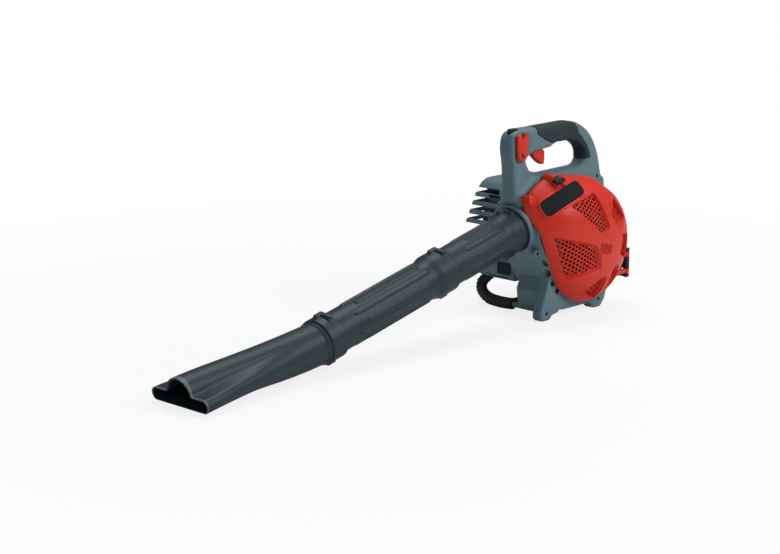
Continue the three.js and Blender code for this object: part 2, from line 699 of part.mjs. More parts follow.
function blowTube(from, length, collar = SOCKET) {
  const end = from + collar;
  const far = from + length + OVERLAP;
  const inner = TUBE_R + TWIST;
  let body = ductTurned([
    [COLLAR_R, from], [COLLAR_R, end], [TUBE_R, end + 12], [TUBE_R, far],
    [TUBE_R - TUBE_WALL, far], [TUBE_R - TUBE_WALL, end], [inner, end - 3], [inner, from],
  ]);
  for (let i = 0; i < RIB_COUNT; i += 1) {
    const rib = new THREE.BoxGeometry(3, length - collar - 60, 6);
    rib.translate(TUBE_R - 0.2, end + 22 + (length - collar - 60) / 2, 0);
    rib.rotateY((i + 0.5) * 2 * Math.PI / RIB_COUNT);
    body = body.add(onDuct(rib));
  }
  return body;
}
const UPPER_AT = GAP - NECK_DEPTH;
const LOWER_AT = UPPER_LEN;
const NOZZLE_AT = UPPER_LEN + LOWER_LEN;
const upperTube = join(
  blowTube(UPPER_AT, UPPER_LEN - UPPER_AT, SOCKET + 18),
  hook(26, 80 * degrees),
  hook(26, 260 * degrees),
);
piece('blow_tube_upper', upperTube, ductPlastic);
const lowerTube = blowTube(LOWER_AT, LOWER_LEN).add(hook(LOWER_AT + 14, 80 * degrees)).add(hook(LOWER_AT + 14, 260 * degrees));
piece('blow_tube_lower', lowerTube, ductPlastic);

// Nozzle: a socket, then a skin that changes from round to the wide mouth along a bend.
const NOZZLE_DROP = 14;
function ductPoint(t) {
  return new THREE.Vector3(NECK_X - t * Math.cos(pitch), 0, NECK_Z - t * Math.sin(pitch));
}
const bendStart = ductPoint(NOZZLE_AT + SOCKET + 2);
const bendEnd = new THREE.Vector3(bendStart.x - NOZZLE_LEN + 50, 0, 3);
const bendMid = new THREE.Vector3(
  bendStart.x - (bendStart.z - bendEnd.z - NOZZLE_DROP) / Math.tan(pitch) * 1.6, 0, bendEnd.z + NOZZLE_DROP);
const nozzlePath = new THREE.QuadraticBezierCurve3(bendStart, bendMid, bendEnd);

function mouthPoint(angle, inset) {
  const half = MOUTH_W / 2 - inset;
  const along = Math.cos(angle);
  const y = half * (0.55 * along + 0.45 * along ** 3);
  const round = MOUTH_H / 2 - inset;
  const over = Math.max(0, Math.abs(y) - (half - round));
  const lift = Math.sqrt(Math.max(0, round * round - over * over));
  const arch = (HUMP_HALF ** 2 + MOUTH_DOME ** 2) / (2 * MOUTH_DOME);
  const hump = Math.abs(y) < HUMP_HALF ? Math.sqrt(arch ** 2 - y ** 2) - arch + MOUTH_DOME : 0;
  const middle = MOUTH_H / 2;
  return Math.sin(angle) >= 0 ? [y, middle + lift + hump] : [y, middle - lift];
}

function nozzleSkin(inset, from, to) {
  const rings = 5;
  const sides = 22;
  const geometry = new THREE.CylinderGeometry(1, 1, 1, sides, rings);
  const position = geometry.attributes.position;
  for (let i = 0; i < position.count; i += 1) {
    const [px, py, pz] = [position.getX(i), position.getY(i), position.getZ(i)];
    const t = from + (to - from) * (0.5 - py);
    const share = Math.min(1, Math.max(0, t));
    const reach = Math.min(1, Math.hypot(px, pz));
    const angle = Math.atan2(pz, px);
    const blend = THREE.MathUtils.smoothstep(share, 0, 1);
    const centre = nozzlePath.getPoint(share);
    const tangent = nozzlePath.getTangent(share);
    if (t > 1) centre.addScaledVector(tangent, (t - 1) * NOZZLE_LEN);
    if (t < 0) centre.addScaledVector(tangent, t * NOZZLE_LEN);
    const radius = TUBE_R + 0.5 - inset;
    const [my, mz] = mouthPoint(angle, inset);
    const y = (1 - blend) * radius * Math.cos(angle) + blend * my;
    const middle = blend * MOUTH_H / 2;
    const z = (1 - blend) * radius * Math.sin(angle) + blend * mz;
    const up = new THREE.Vector3(-tangent.z, 0, tangent.x).multiplyScalar(-1);
    const place = centre.clone().addScaledVector(up, (z - middle) * reach + middle);
    position.setXYZ(i, place.x, y * reach, place.z);
  }
  let body = solid(geometry);
  if (body.volume() < 0) {
    const index = Array.from(geometry.index.array);
    for (let k = 0; k < index.length; k += 3) [index[k], index[k + 1]] = [index[k + 1], index[k]];
    geometry.setIndex(index);
    body = solid(geometry);
  }
  return body;
}
const socketTurned = ductTurned([
  [COLLAR_R, NOZZLE_AT], [COLLAR_R, NOZZLE_AT + SOCKET], [TUBE_R + 0.5, NOZZLE_AT + SOCKET + 1],
  [TUBE_R + 0.5, NOZZLE_AT + SOCKET + 4], [TUBE_R - TUBE_WALL, NOZZLE_AT + SOCKET + 4], [TUBE_R - TUBE_WALL, NOZZLE_AT + SOCKET - 3],
  [TUBE_R + TWIST, NOZZLE_AT + SOCKET - 6], [TUBE_R + TWIST, NOZZLE_AT],
]);
const nozzle = join(
  socketTurned,
  nozzleSkin(0, 0, 1).subtract(nozzleSkin(TUBE_WALL, -0.02, 1.02)),
  hook(NOZZLE_AT + 14, 80 * degrees),
  hook(NOZZLE_AT + 14, 260 * degrees),
);
piece('nozzle', nozzle, ductPlastic);

// ---------- rotating group ----------
const CRANK_Y0 = BACK_Y + 3;      // fan-side end of the engine space
const CASE_Y0 = 62;
const CASE_Y1 = 106;
const BEARING_R = 13;
const BEARING_W = 7;
const WEB_R = 23;
const WEB_W = 7;
const PIN_HALF = 6;               // half length of the crank pin

// Impeller: back plate, hub and curved blades.
const hub = turned([
  [SHAFT_R + GAP, -18], [16, -18], [20, 10], [FAN_R, 25], [FAN_R, 28], [22, 28], [SHAFT_R + GAP, 28],
], 28);
let impeller = hub;
const BLADES = 9;
for (let i = 0; i < BLADES; i += 1) {
  const blade = new THREE.Shape();
  blade.moveTo(34, 0);
  blade.quadraticCurveTo(62, 4, FAN_R, -16);
  blade.lineTo(FAN_R - 1, -19);
  blade.quadraticCurveTo(62, 1.5, 34, -2.6);
  blade.closePath();
  const geometry = new THREE.ExtrudeGeometry(blade, { depth: FAN_WIDTH - 6, bevelEnabled: false, curveSegments: 4 });
  geometry.rotateX(Math.PI / 2);
  geometry.translate(0, 27, 0);
  geometry.rotateY(i * 2 * Math.PI / BLADES);
  impeller = impeller.add(solid(geometry));
}
const taper = turned([[0, -40], [30, -40], [FAN_R + 2, -20], [FAN_R + 2, -60], [0, -60]], 28);
impeller = impeller.subtract(taper).subtract(turned([[0, -60], [33, -60], [33, -19], [0, -19]], 24));
piece('impeller', moved(impeller, 0, 0, FAN_Z), blackPlastic);
const nutShape = new THREE.Shape();
for (let i = 0; i < 6; i += 1) nutShape[i ? 'lineTo' : 'moveTo'](9 * Math.cos(i * Math.PI / 3), 9 * Math.sin(i * Math.PI / 3));
nutShape.closePath();
const nut = slab(nutShape, -18 - GAP - 8, -18 - GAP).subtract(bar('y', 4 + GAP, -60, 0));
piece('impeller_nut', moved(nut, 0, 0, FAN_Z), steel);

// Crankshaft in two halves, each with its web; the pin rides with the connecting rod.
const crankFan = join(
  bar('y', SHAFT_R, -17, ENGINE_Y - PIN_HALF - WEB_W, 0, 0, 24),
  bar('y', 4, -30, -16, 0, 0, 16),
  bar('y', WEB_R, ENGINE_Y - PIN_HALF - WEB_W, ENGINE_Y - PIN_HALF - GAP, 0, 0, 24),
);
piece('crankshaft_fan_end', moved(crankFan, 0, 0, FAN_Z), steel);
const crankStart = join(
  bar('y', WEB_R, ENGINE_Y + PIN_HALF + GAP, ENGINE_Y + PIN_HALF + WEB_W, 0, 0, 24),
  bar('y', SHAFT_R, ENGINE_Y + PIN_HALF + WEB_W - 1, STARTER_Y - 4, 0, 0, 24),
);
piece('crankshaft_starter_end', moved(crankStart, 0, 0, FAN_Z), steel);
const flywheel = turned([
  [SHAFT_R + GAP, BACK_Y + 4], [14, BACK_Y + 4], [16, BACK_Y + 7], [34, BACK_Y + 7], [34, BACK_Y + 4],
  [40, BACK_Y + 4], [40, BACK_Y + 14], [SHAFT_R + GAP, BACK_Y + 14],
], 20);
piece('flywheel', moved(flywheel, 0, 0, FAN_Z), castAlloy);
for (const [name, y] of [['fan_side_bearing', CASE_Y0 + 1], ['starter_side_bearing', CASE_Y1 - 1 - BEARING_W]]) {
  const ring = turned([[SHAFT_R + 0.08, y], [BEARING_R, y], [BEARING_R, y + BEARING_W], [SHAFT_R + 0.08, y + BEARING_W]], 24);
  piece(name, moved(ring, 0, 0, FAN_Z), steel);
}

// Crankcase with the cylinder foot.
const CYL_Z0 = FAN_Z + CASE_R - 2;
const CYL_Z1 = FAN_Z + CRANK_R + ROD_LEN + 32;
let crankcase = join(
  bar('y', CASE_R, CASE_Y0, CASE_Y1, 0, FAN_Z, 18),
  block(-27, 27, CASE_Y0, CASE_Y1, FAN_Z, CYL_Z0 - GAP),
  block(-20, 20, CASE_Y0 + 4, CASE_Y1 - 4, TANK_Z1 + 1, FAN_Z),
  block(-52, 52, CASE_Y1 - 8, CASE_Y1 - 1, FAN_Z - 5, FAN_Z + 5),
  block(-48, 48, CASE_Y0, CASE_Y0 + 7, FAN_Z - 24, FAN_Z - 14),
  block(-48, 48, CASE_Y0, CASE_Y0 + 7, FAN_Z + 14, FAN_Z + 24),
);
for (const side of [-1, 1]) {
  crankcase = crankcase.add(bar('y', 5, CASE_Y1 - 8, STARTER_Y - GAP, side * (STARTER_R - 3), FAN_Z, 8));
  for (const z of [FAN_Z - 19, FAN_Z + 19]) {
    crankcase = crankcase.add(bar('y', 5, BACK_Y + GAP, CASE_Y0 + 6, side * 46, z, 8));
  }
}
crankcase = crankcase
  .subtract(bar('y', WEB_R + 2, ENGINE_Y - PIN_HALF - WEB_W - 1.5, ENGINE_Y + PIN_HALF + WEB_W + 1.5, 0, FAN_Z, 18))
  .subtract(bar('y', BEARING_R + GAP, CASE_Y0 + 0.7, CASE_Y1 - 0.7, 0, FAN_Z, 16))
  .subtract(bar('y', SHAFT_R + RUN, CASE_Y0 - 5, CASE_Y1 + 5, 0, FAN_Z, 24))
  .subtract(bar('z', BORE_R + 0.6, FAN_Z, CYL_Z0 + 5, 0, ENGINE_Y, 24))
  .subtract(block(-60, 60, 0, 200, CYL_Z0 - GAP, 260));
piece('crankcase', crankcase, castAlloy);

// Cylinder with cooling fins and a plug hole in its head.
const FIN_COUNT = 4;
const FIN_PITCH = 13;
const PLUG_TILT = 80 * degrees;
let cylinder = join(
  block(-24, 24, CASE_Y0 + 2, CASE_Y1 - 2, CYL_Z0, CYL_Z0 + 5),
  bar('z', BORE_R + 5, CYL_Z0, CYL_Z1, 0, ENGINE_Y, 16),
  block(19, 30, ENGINE_Y - 12, ENGINE_Y + 12, 176.8, 199.5),
  block(-30, -19, ENGINE_Y - 12, ENGINE_Y + 12, 175.2, 200.4),
);
for (let i = 0; i < FIN_COUNT; i += 1) {
  const z = CYL_Z0 + 12 + i * FIN_PITCH;
  cylinder = cylinder.add(plate(rounded(-28, 28, ENGINE_Y - 23, ENGINE_Y + 27, 6), z, z + 2, 0, 1));
}
const bore = bar('z', BORE_R, CYL_Z0 - 5, CYL_Z1 - 6, 0, ENGINE_Y, 24);
const onPlug = body => body.rotate([0, PLUG_TILT / degrees, 0]).translate([14, ENGINE_Y, CYL_Z1 - 8]);
cylinder = cylinder
  .subtract(bore)
  .subtract(onPlug(bar('z', 4 + GAP, -6, 30, 0, 0, 16)))
  .subtract(onPlug(bar('z', 11, 9.5, 60, 0, 0, 16)))
  .subtract(bar('x', 7, 10, 40, ENGINE_Y, 188, 16))
  .subtract(bar('x', 8, -40, -10, ENGINE_Y, 188, 16));
piece('cylinder', cylinder, castAlloy);

// Piston, its pin and the rod, at top dead centre.
const PISTON_Z = FAN_Z + CRANK_R + ROD_LEN;
const piston = bar('z', BORE_R - 0.3, PISTON_Z - 12, PISTON_Z + 13, 0, ENGINE_Y, 24)
  .subtract(bar('z', BORE_R - 3, PISTON_Z - 14, PISTON_Z + 9, 0, ENGINE_Y, 24))
  .subtract(bar('y', 4 + 0.05, ENGINE_Y - 30, ENGINE_Y + 30, 0, PISTON_Z, 16));
piece('piston', piston, castAlloy);
piece('wrist_pin', bar('y', 4, ENGINE_Y - 13, ENGINE_Y + 13, 0, PISTON_Z, 16), steel);
const CRANK_PIN_Z = FAN_Z + CRANK_R;
const rod = join(
  bar('y', 7, ENGINE_Y - 5, ENGINE_Y + 5, 0, PISTON_Z, 16),
  bar('y', 8.2, ENGINE_Y - 5, ENGINE_Y + 5, 0, CRANK_PIN_Z, 16),
  block(-4, 4, ENGINE_Y - 2.5, ENGINE_Y + 2.5, CRANK_PIN_Z, PISTON_Z),
).subtract(bar('y', 4 + 0.08, ENGINE_Y - 20, ENGINE_Y + 20, 0, PISTON_Z, 16))
  .subtract(bar('y', 5 + 0.05, ENGINE_Y - 20, ENGINE_Y + 20, 0, CRANK_PIN_Z, 16));
piece('connecting_rod', rod, steel);
piece('crank_pin', bar('y', 5, ENGINE_Y - PIN_HALF + GAP, ENGINE_Y + PIN_HALF - GAP, 0, CRANK_PIN_Z, 16), steel);

// Spark plug, cap and lead, and the coil over the flywheel.
const LEAD_X = 14 + 49.5 * Math.sin(PLUG_TILT);
const LEAD_Z = CYL_Z1 - 8 + 49.5 * Math.cos(PLUG_TILT);
const plug = onPlug(join(bar('z', 4, -3, 10, 0, 0, 16), bar('z', 9, 10, 18, 0, 0, 6), bar('z', 5, 17, 34, 0, 0, 16)));
piece('spark_plug', plug, steel);
const cap = onPlug(join(bar('z', 8, 22, 42, 0, 0, 16), bar('z', 8, 34, 46, 0, 0, 16, 5)))
  .subtract(onPlug(bar('z', 5 + GAP, 20, 36, 0, 0, 16)));
piece('plug_cap', cap, rubber);
const coil = join(
  block(-16, 16, BACK_Y + 4, BACK_Y + 14, FAN_Z + 52, FAN_Z + 70),
  block(-14, -7, BACK_Y + 5, BACK_Y + 12, FAN_Z + 41, FAN_Z + 53),
  block(7, 14, BACK_Y + 5, BACK_Y + 12, FAN_Z + 41, FAN_Z + 53),
);
piece('ignition_coil', coil, blackPlastic);
function cord(points, radius, steps = 12, sides = 5) {
  const path = new THREE.CatmullRomCurve3(points.map(([x, y, z]) => new THREE.Vector3(x, y, z)), false, 'centripetal');
  const ring = new THREE.Shape();
  for (let i = 0; i < sides; i += 1) {
    const a = i * 2 * Math.PI / sides;
    ring[i ? 'lineTo' : 'moveTo'](radius * Math.cos(a), radius * Math.sin(a));
  }
  ring.closePath();
  return solid(new THREE.ExtrudeGeometry(ring, { steps, extrudePath: path, bevelEnabled: false, curveSegments: 1 }));
}

// ---------- muffler and its slatted cover ----------
let muffler = plate(rounded(-92, -34, 62, 112, 12), 158, 214, 4, 3);
muffler = join(muffler, block(-35, -30.4, ENGINE_Y - 11, ENGINE_Y + 11, 177, 199))
  .subtract(bar('x', 6, -60, -20, ENGINE_Y, 188, 16))
  .subtract(bar('x', 5, -110, -80, 100, 172, 16));
piece('muffler', muffler, steel);

const COVER_WALL = 2.5;
const COVER_LEAN = 10 * degrees;  // outward lean of the cover's outboard wall
const SLAT_COUNT = 5;
const SLAT_PITCH = 16.5;
const SLAT_GAP = 8;
const SLAT_Z = 151;
function engineCoverSide(inset) {
  const shape = new THREE.Shape();
  const [x0, x1, top] = [COVER_X0 + inset, COVER_X1 + 20, COVER_TOP - inset];
  shape.moveTo(x0 - 6, 145);
  shape.lineTo(x1, 145);
  shape.lineTo(x1, top);
  shape.lineTo(x0 + 46, top);
  shape.quadraticCurveTo(x0 + 24, top - 2, x0 + 14, top - 32);
  shape.closePath();
  return shape;
}
// The outboard side leans: everything beyond a sloping plane is cut away.
function outboardCut(inset) {
  const wall = new THREE.BoxGeometry(400, 100, 300);
  wall.translate(0, 50, 0);
  wall.rotateX(COVER_LEAN);
  wall.translate(0, COVER_Y1 - inset, (COVER_TOP + 145) / 2);
  return solid(wall);
}
let engineCover = slab(engineCoverSide(0), COVER_Y0, COVER_Y1 + 30, 4, 1, 5).subtract(outboardCut(0));
engineCover = engineCover
  .subtract(slab(engineCoverSide(COVER_WALL), COVER_Y0 - 20, COVER_Y1 + 60).subtract(outboardCut(COVER_WALL)))
  .subtract(block(COVER_X0 - 30, COVER_X1 + 40, 0, 250, 120, 149))
  .subtract(block(COVER_X1, COVER_X1 + 40, 0, 250, 120, 260));
for (let i = 0; i < SLAT_COUNT; i += 1) {
  const z = SLAT_Z + i * SLAT_PITCH;
  engineCover = engineCover.subtract(block(COVER_X0 - 30, COVER_X0 + 48, 56, COVER_Y1 + 60, z, z + SLAT_GAP));
}
engineCover = join(
  engineCover,
  block(COVER_X0 + 40, COVER_X0 + 50, COVER_Y0, COVER_Y0 + 12, 149, COVER_TOP - 2),
).subtract(plate(rounded(-93, -33, 61, 113, 12), 157, 215, 0, 3))
  .subtract(ductBar(NECK_R + GAP, -80, 10))
  .subtract(bar('y', STARTER_R + RUN, STARTER_Y - RUN, 220, 0, FAN_Z, 28));
piece('engine_cover', engineCover, greyPlastic);

// ---------- fuel tank ----------
const TANK_X0 = -90;
const TANK_X1 = 92;
const TANK_Y1 = 140;
const FILLER_X = 75;
const FILLER_Y = 121;
const tankSide = new THREE.Shape();
tankSide.moveTo(TANK_X0 + 12, TANK_Z0);
tankSide.lineTo(TANK_X1 - 10, TANK_Z0 + 2);
tankSide.quadraticCurveTo(TANK_X1, TANK_Z0 + 4, TANK_X1, TANK_Z0 + 16);
tankSide.lineTo(TANK_X1, TANK_Z1 - 6);
tankSide.lineTo(TANK_X1 - 6, TANK_Z1);
tankSide.lineTo(TANK_X0 + 4, TANK_Z1);
tankSide.lineTo(TANK_X0, TANK_Z1 - 6);
tankSide.lineTo(TANK_X0 + 2, TANK_Z0 + 12);
tankSide.closePath();
let tank = slab(tankSide, BACK_Y + GAP, TANK_Y1, 5, 1, 4);
tank = join(tank, bar('z', 12, TANK_Z1 - 4, TANK_Z1 + 6, FILLER_X, FILLER_Y, 16));
tank = tank
  .subtract(block(TANK_X0 + 8, TANK_X1 - 8, BACK_Y + 19, STARTER_Y - 6, TANK_Z0 + 4, TANK_Z1 - 3))
  .subtract(block(62, TANK_X1 - 8, STARTER_Y - 8, TANK_Y1 - 6, TANK_Z0 + 4, TANK_Z1 - 3))
  .subtract(bar('z', 9, TANK_Z1 - 10, TANK_Z1 + 20, FILLER_X, FILLER_Y, 16))
  .subtract(bar('y', 42, 40, BACK_Y + 15, 0, FAN_Z, 28))
  .subtract(bar('y', STARTER_R + RUN, STARTER_Y - RUN, 200, 0, FAN_Z, 28))
  .subtract(bar('z', 2.6, TANK_Z1 - 10, TANK_Z1 + 20, 60, 80, 12))
  .subtract(bar('z', 2.6, TANK_Z1 - 10, TANK_Z1 + 20, 56, 68, 12));
piece('fuel_tank', tank, greyPlastic);
let fuelCap = bar('z', 14.5, TANK_Z1 + 6 + GAP, TANK_Z1 + 18, FILLER_X, FILLER_Y, 16);
for (let i = 0; i < 8; i += 1) {
  const a = i * Math.PI / 4;
  fuelCap = fuelCap.subtract(bar('z', 3, 0, 200, FILLER_X + 16 * Math.cos(a), FILLER_Y + 16 * Math.sin(a), 6));
}
fuelCap = fuelCap.add(bar('z', 8, TANK_Z1 - 2, TANK_Z1 + 8, FILLER_X, FILLER_Y, 16));
piece('fuel_cap', fuelCap, blackPlastic);

const LABEL_Y = [50, 84];
piece('label_plate', block(TANK_X0 - 0.8, TANK_X0 - 0.1, ...LABEL_Y, 66, 90), blackPlastic);

// ---------- carburettor and air cleaner ----------
const INTAKE_Z = 188;
piece('intake_spacer', block(30 + GAP, 40, ENGINE_Y - 13, ENGINE_Y + 13, INTAKE_Z - 11, INTAKE_Z + 11)
  .subtract(bar('x', 7, 20, 60, ENGINE_Y, INTAKE_Z, 16)), blackPlastic);
const carb = join(
  block(40 + GAP, 68, ENGINE_Y - 17, ENGINE_Y + 17, INTAKE_Z - 16, INTAKE_Z + 14),
  bar('x', 11, 50, 74, ENGINE_Y, INTAKE_Z, 16),
).subtract(bar('x', 7, 30, 90, ENGINE_Y, INTAKE_Z, 16))
  .subtract(bar('z', 3 + GAP, INTAKE_Z + 4, INTAKE_Z + 40, 52, ENGINE_Y - 12.5, 12));
piece('carburettor', carb, castAlloy);
const arm = join(
  bar('z', 3, INTAKE_Z + 5, INTAKE_Z + 18.5, 52, ENGINE_Y - 12.5, 12),
  block(44, 58, ENGINE_Y - 17, ENGINE_Y - 8, INTAKE_Z + 14 + GAP, INTAKE_Z + 17),
);
piece('throttle_arm', arm, steel);

const bulb = turned([[0, 0], [9, 0], [9, 3], [7.5, 8], [4, 11], [0, 12]], 20);
piece('primer_bulb', moved(bulb, 60, ENGINE_Y + 17 + GAP, INTAKE_Z - 2), rubber);

const CLEANER_X0 = 74 + GAP;
const CLEANER_X1 = 114;
const cleanerOutline = (grow) => rounded(48 - grow, 124 + grow, 150 - grow, 226 + grow, 12);
function cleanerSlab(grow, x0, x1, edge = 0) {
  const geometry = geometryOf(plate(cleanerOutline(grow), x0, x1, edge, 3));
  const swap = new THREE.Matrix4().set(0, 0, 1, 0, 1, 0, 0, 0, 0, 1, 0, 0, 0, 0, 0, 1);
  geometry.applyMatrix4(swap);
  return solid(geometry);
}
const CHOKE_Y = 112;
const CHOKE_Z = 214;
const cleanerBase = cleanerSlab(-3, CLEANER_X0, CLEANER_X0 + 14)
  .subtract(cleanerSlab(-6, CLEANER_X0 + 3, CLEANER_X0 + 30))
  .subtract(bar('x', 11, 60, 90, ENGINE_Y, INTAKE_Z, 16))
  .subtract(bar('x', 3 + GAP, 60, 110, CHOKE_Y, CHOKE_Z, 12))
  .add(bar('x', 5, CLEANER_X0 + 2, CLEANER_X0 + 20, ENGINE_Y, 214, 14))
  .subtract(bar('x', 2.2, CLEANER_X0 + 6, 110, ENGINE_Y, 214, 12));
piece('air_cleaner_base', cleanerBase, blackPlastic);
piece('air_filter', cleanerSlab(-7, CLEANER_X0 + 8, CLEANER_X0 + 18)
  .subtract(bar('x', 6, 60, 110, ENGINE_Y, 214, 14)), foam);
const cleanerCover = cleanerSlab(0, CLEANER_X0 + 5, CLEANER_X1, 5)
  .subtract(cleanerSlab(-3 + GAP, 60, CLEANER_X1 - 3))
  .subtract(bar('x', 4, 60, 140, ENGINE_Y, 214, 14));
piece('air_cleaner_cover', cleanerCover, blackPlastic);
const cleanerKnob = join(
  bar('x', 9, CLEANER_X1 + GAP, CLEANER_X1 + 8, ENGINE_Y, 214, 16),
  bar('x', 2, CLEANER_X0 + 8, CLEANER_X1 + 2, ENGINE_Y, 214, 12),
);
piece('air_cleaner_knob', cleanerKnob, blackPlastic);
const choke = join(
  bar('x', 3, 68, CLEANER_X0 + 2, CHOKE_Y, CHOKE_Z, 12),
  block(68, 72, CHOKE_Y - 4, CHOKE_Y + 26, CHOKE_Z - 4, CHOKE_Z + 4),
);
piece('choke_lever', choke, blackPlastic);

piece('fuel_line', cord([[60, 80, TANK_Z1 - 12], [60, 80, 120], [62, 82, 145], [58, 84, 171]], 2.2), rubber);
piece('return_line', cord([[56, 68, TANK_Z1 - 12], [56, 68, 118], [55, 69, 140], [50, 74, 171]], 2.2), rubber);
piece('ignition_lead', cord([
  [10, BACK_Y + 9, FAN_Z + 72], [16, 53, 214], [40, 54, 230], [66, 66, 232], [70, 80, 225], [LEAD_X, ENGINE_Y, LEAD_Z],
], 2.4, 18), rubber);
piece('throttle_cable', cord([
  [-70, 32.6, 246], [-58, 38, 247], [-30, 41, 249], [20, 42, 250], [50, 46, 236], [51, 62, 212], [51, ENGINE_Y - 15, INTAKE_Z + 20],
], 2, 22), rubber);

// ---------- recoil starter ----------
const ROPE_R = 1.8;
const starterShell = turned([
  [0, STARTER_Y + STARTER_DEPTH], [STARTER_R - 14, STARTER_Y + STARTER_DEPTH],
  [STARTER_R - 4, STARTER_Y + STARTER_DEPTH - 6], [STARTER_R, STARTER_Y + 10], [STARTER_R, STARTER_Y],
  [STARTER_R - 3, STARTER_Y], [STARTER_R - 3, STARTER_Y + 10],
  [STARTER_R - 8, STARTER_Y + STARTER_DEPTH - 3], [6, STARTER_Y + STARTER_DEPTH - 3],
  [6, STARTER_Y + 8], [0, STARTER_Y + 8],
], 20);
let starter = starterShell;
for (let i = 0; i < 6; i += 1) {
  const slot = new THREE.BoxGeometry(24, 20, 5);
  slot.translate(32, STARTER_Y + STARTER_DEPTH, 0);
  slot.rotateY(i * 60 * degrees);
  starter = starter.subtract(solid(slot));
}
starter = moved(starter, 0, 0, FAN_Z);
const ROPE_Z = FAN_Z + REEL_R;
const GUIDE_X = 66;
starter = join(
  starter,
  bar('x', 7, 33, GUIDE_X, STARTER_Y + 15, ROPE_Z, 16),
  bar('x', 10, GUIDE_X - 4, GUIDE_X, STARTER_Y + 15, ROPE_Z, 16),
).subtract(bar('x', ROPE_R + RUN, 20, GUIDE_X + 10, STARTER_Y + 15, ROPE_Z, 14))
  .subtract(moved(bar('y', STARTER_R - 8, STARTER_Y - 1, STARTER_Y + 22, 0, 0, 16), 0, 0, FAN_Z)
    .subtract(bar('y', 6, STARTER_Y - 2, STARTER_Y + 40, 0, FAN_Z, 16)));
piece('starter_housing', starter, blackPlastic);
const reel = turned([
  [6 + GAP, STARTER_Y + 10], [REEL_R + 4, STARTER_Y + 10], [REEL_R + 4, STARTER_Y + 12], [REEL_R - 2, STARTER_Y + 12.5],
  [REEL_R - 2, STARTER_Y + 17.5], [REEL_R + 4, STARTER_Y + 18], [REEL_R + 4, STARTER_Y + 20], [6 + GAP, STARTER_Y + 20],
], 20);
piece('starter_reel', moved(reel, 0, 0, FAN_Z), blackPlastic);
const cup = turned([
  [SHAFT_R + GAP, STARTER_Y - 9], [24, STARTER_Y - 9], [24, STARTER_Y + 5], [21, STARTER_Y + 5],
  [21, STARTER_Y - 6], [SHAFT_R + GAP, STARTER_Y - 6],
], 20);
piece('starter_cup', moved(cup, 0, 0, FAN_Z), steel);
piece('starter_rope', bar('x', ROPE_R, 0, GUIDE_X + 6, STARTER_Y + 15, ROPE_Z, 10), rubber);
const handle = join(
  slab(outline([[GUIDE_X + 1, -5], [GUIDE_X + 8, -8], [GUIDE_X + 14, -21], [GUIDE_X + 24, -20], [GUIDE_X + 26, 0],
    [GUIDE_X + 24, 20], [GUIDE_X + 14, 21], [GUIDE_X + 8, 8], [GUIDE_X + 1, 5]]), -7, 7, 3),
);
piece('starter_handle', moved(handle, 0, STARTER_Y + 15, ROPE_Z)
  .subtract(bar('x', ROPE_R + GAP, 0, GUIDE_X + 7, STARTER_Y + 15, ROPE_Z, 10)), blackPlastic);
// ---------- stand ----------
const standPath = new THREE.CatmullRomCurve3([
  [STAND_X, STAND_Y - 3 + GAP, STAND_R + 4], [STAND_X, STAND_Y + 30, STAND_R + 3], [STAND_X, STAND_Y + 58, STAND_R + 6],
  [STAND_X + 1, STAND_Y + 76, STAND_R + 18], [STAND_X + 6, STAND_Y + 80, TANK_Z0 - 12], [STAND_X + 16, STAND_Y + 70, TANK_Z0 + 4],
].map(([x, y, z]) => new THREE.Vector3(x, y, z)), false, 'centripetal');
const standSection = rounded(-STAND_R, STAND_R, -11, 11, 4);
const hoop = solid(new THREE.ExtrudeGeometry(standSection, {
  steps: 14, extrudePath: standPath, bevelEnabled: false, curveSegments: 1,
})).subtract(block(-300, 300, 0, 300, TANK_Z0 - GAP, 200));
// Its rear arm runs along the ground and rises to the tank's underside.
const armPath = new THREE.CatmullRomCurve3([
  [STAND_X + 2, STAND_Y + 28, STAND_R + 2], [STAND_X + 44, STAND_Y + 18, STAND_R + 1],
  [STAND_X + 82, STAND_Y + 12, STAND_R + 12], [STAND_X + 100, STAND_Y + 12, TANK_Z0 + 3],
].map(([x, y, z]) => new THREE.Vector3(x, y, z)), false, 'centripetal');
const standArm = solid(new THREE.ExtrudeGeometry(rounded(-6, 6, -6, 6, 2.5), {
  steps: 9, extrudePath: armPath, bevelEnabled: false, curveSegments: 1,
})).subtract(block(-300, 300, 0, 300, TANK_Z0 - GAP, 200));
piece('stand_hoop', hoop.add(standArm), blackPlastic);

// ---------- casing screws ----------
for (const [name, x, z, face] of caseScrews) {
  piece(name, bar('y', SCREW_R, face + 0.6, face + POCKET - GAP, x, z, 8), steel);
}

// The shared frame: its origin under the middle of the whole machine, on the ground.
const whole = new THREE.Box3().setFromObject(blower);
blower.position.set(-(whole.min.x + whole.max.x) / 2, -(whole.min.y + whole.max.y) / 2, -whole.min.z);

export default blower;
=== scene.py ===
import json
import math
import bpy
from mathutils import Matrix, Vector

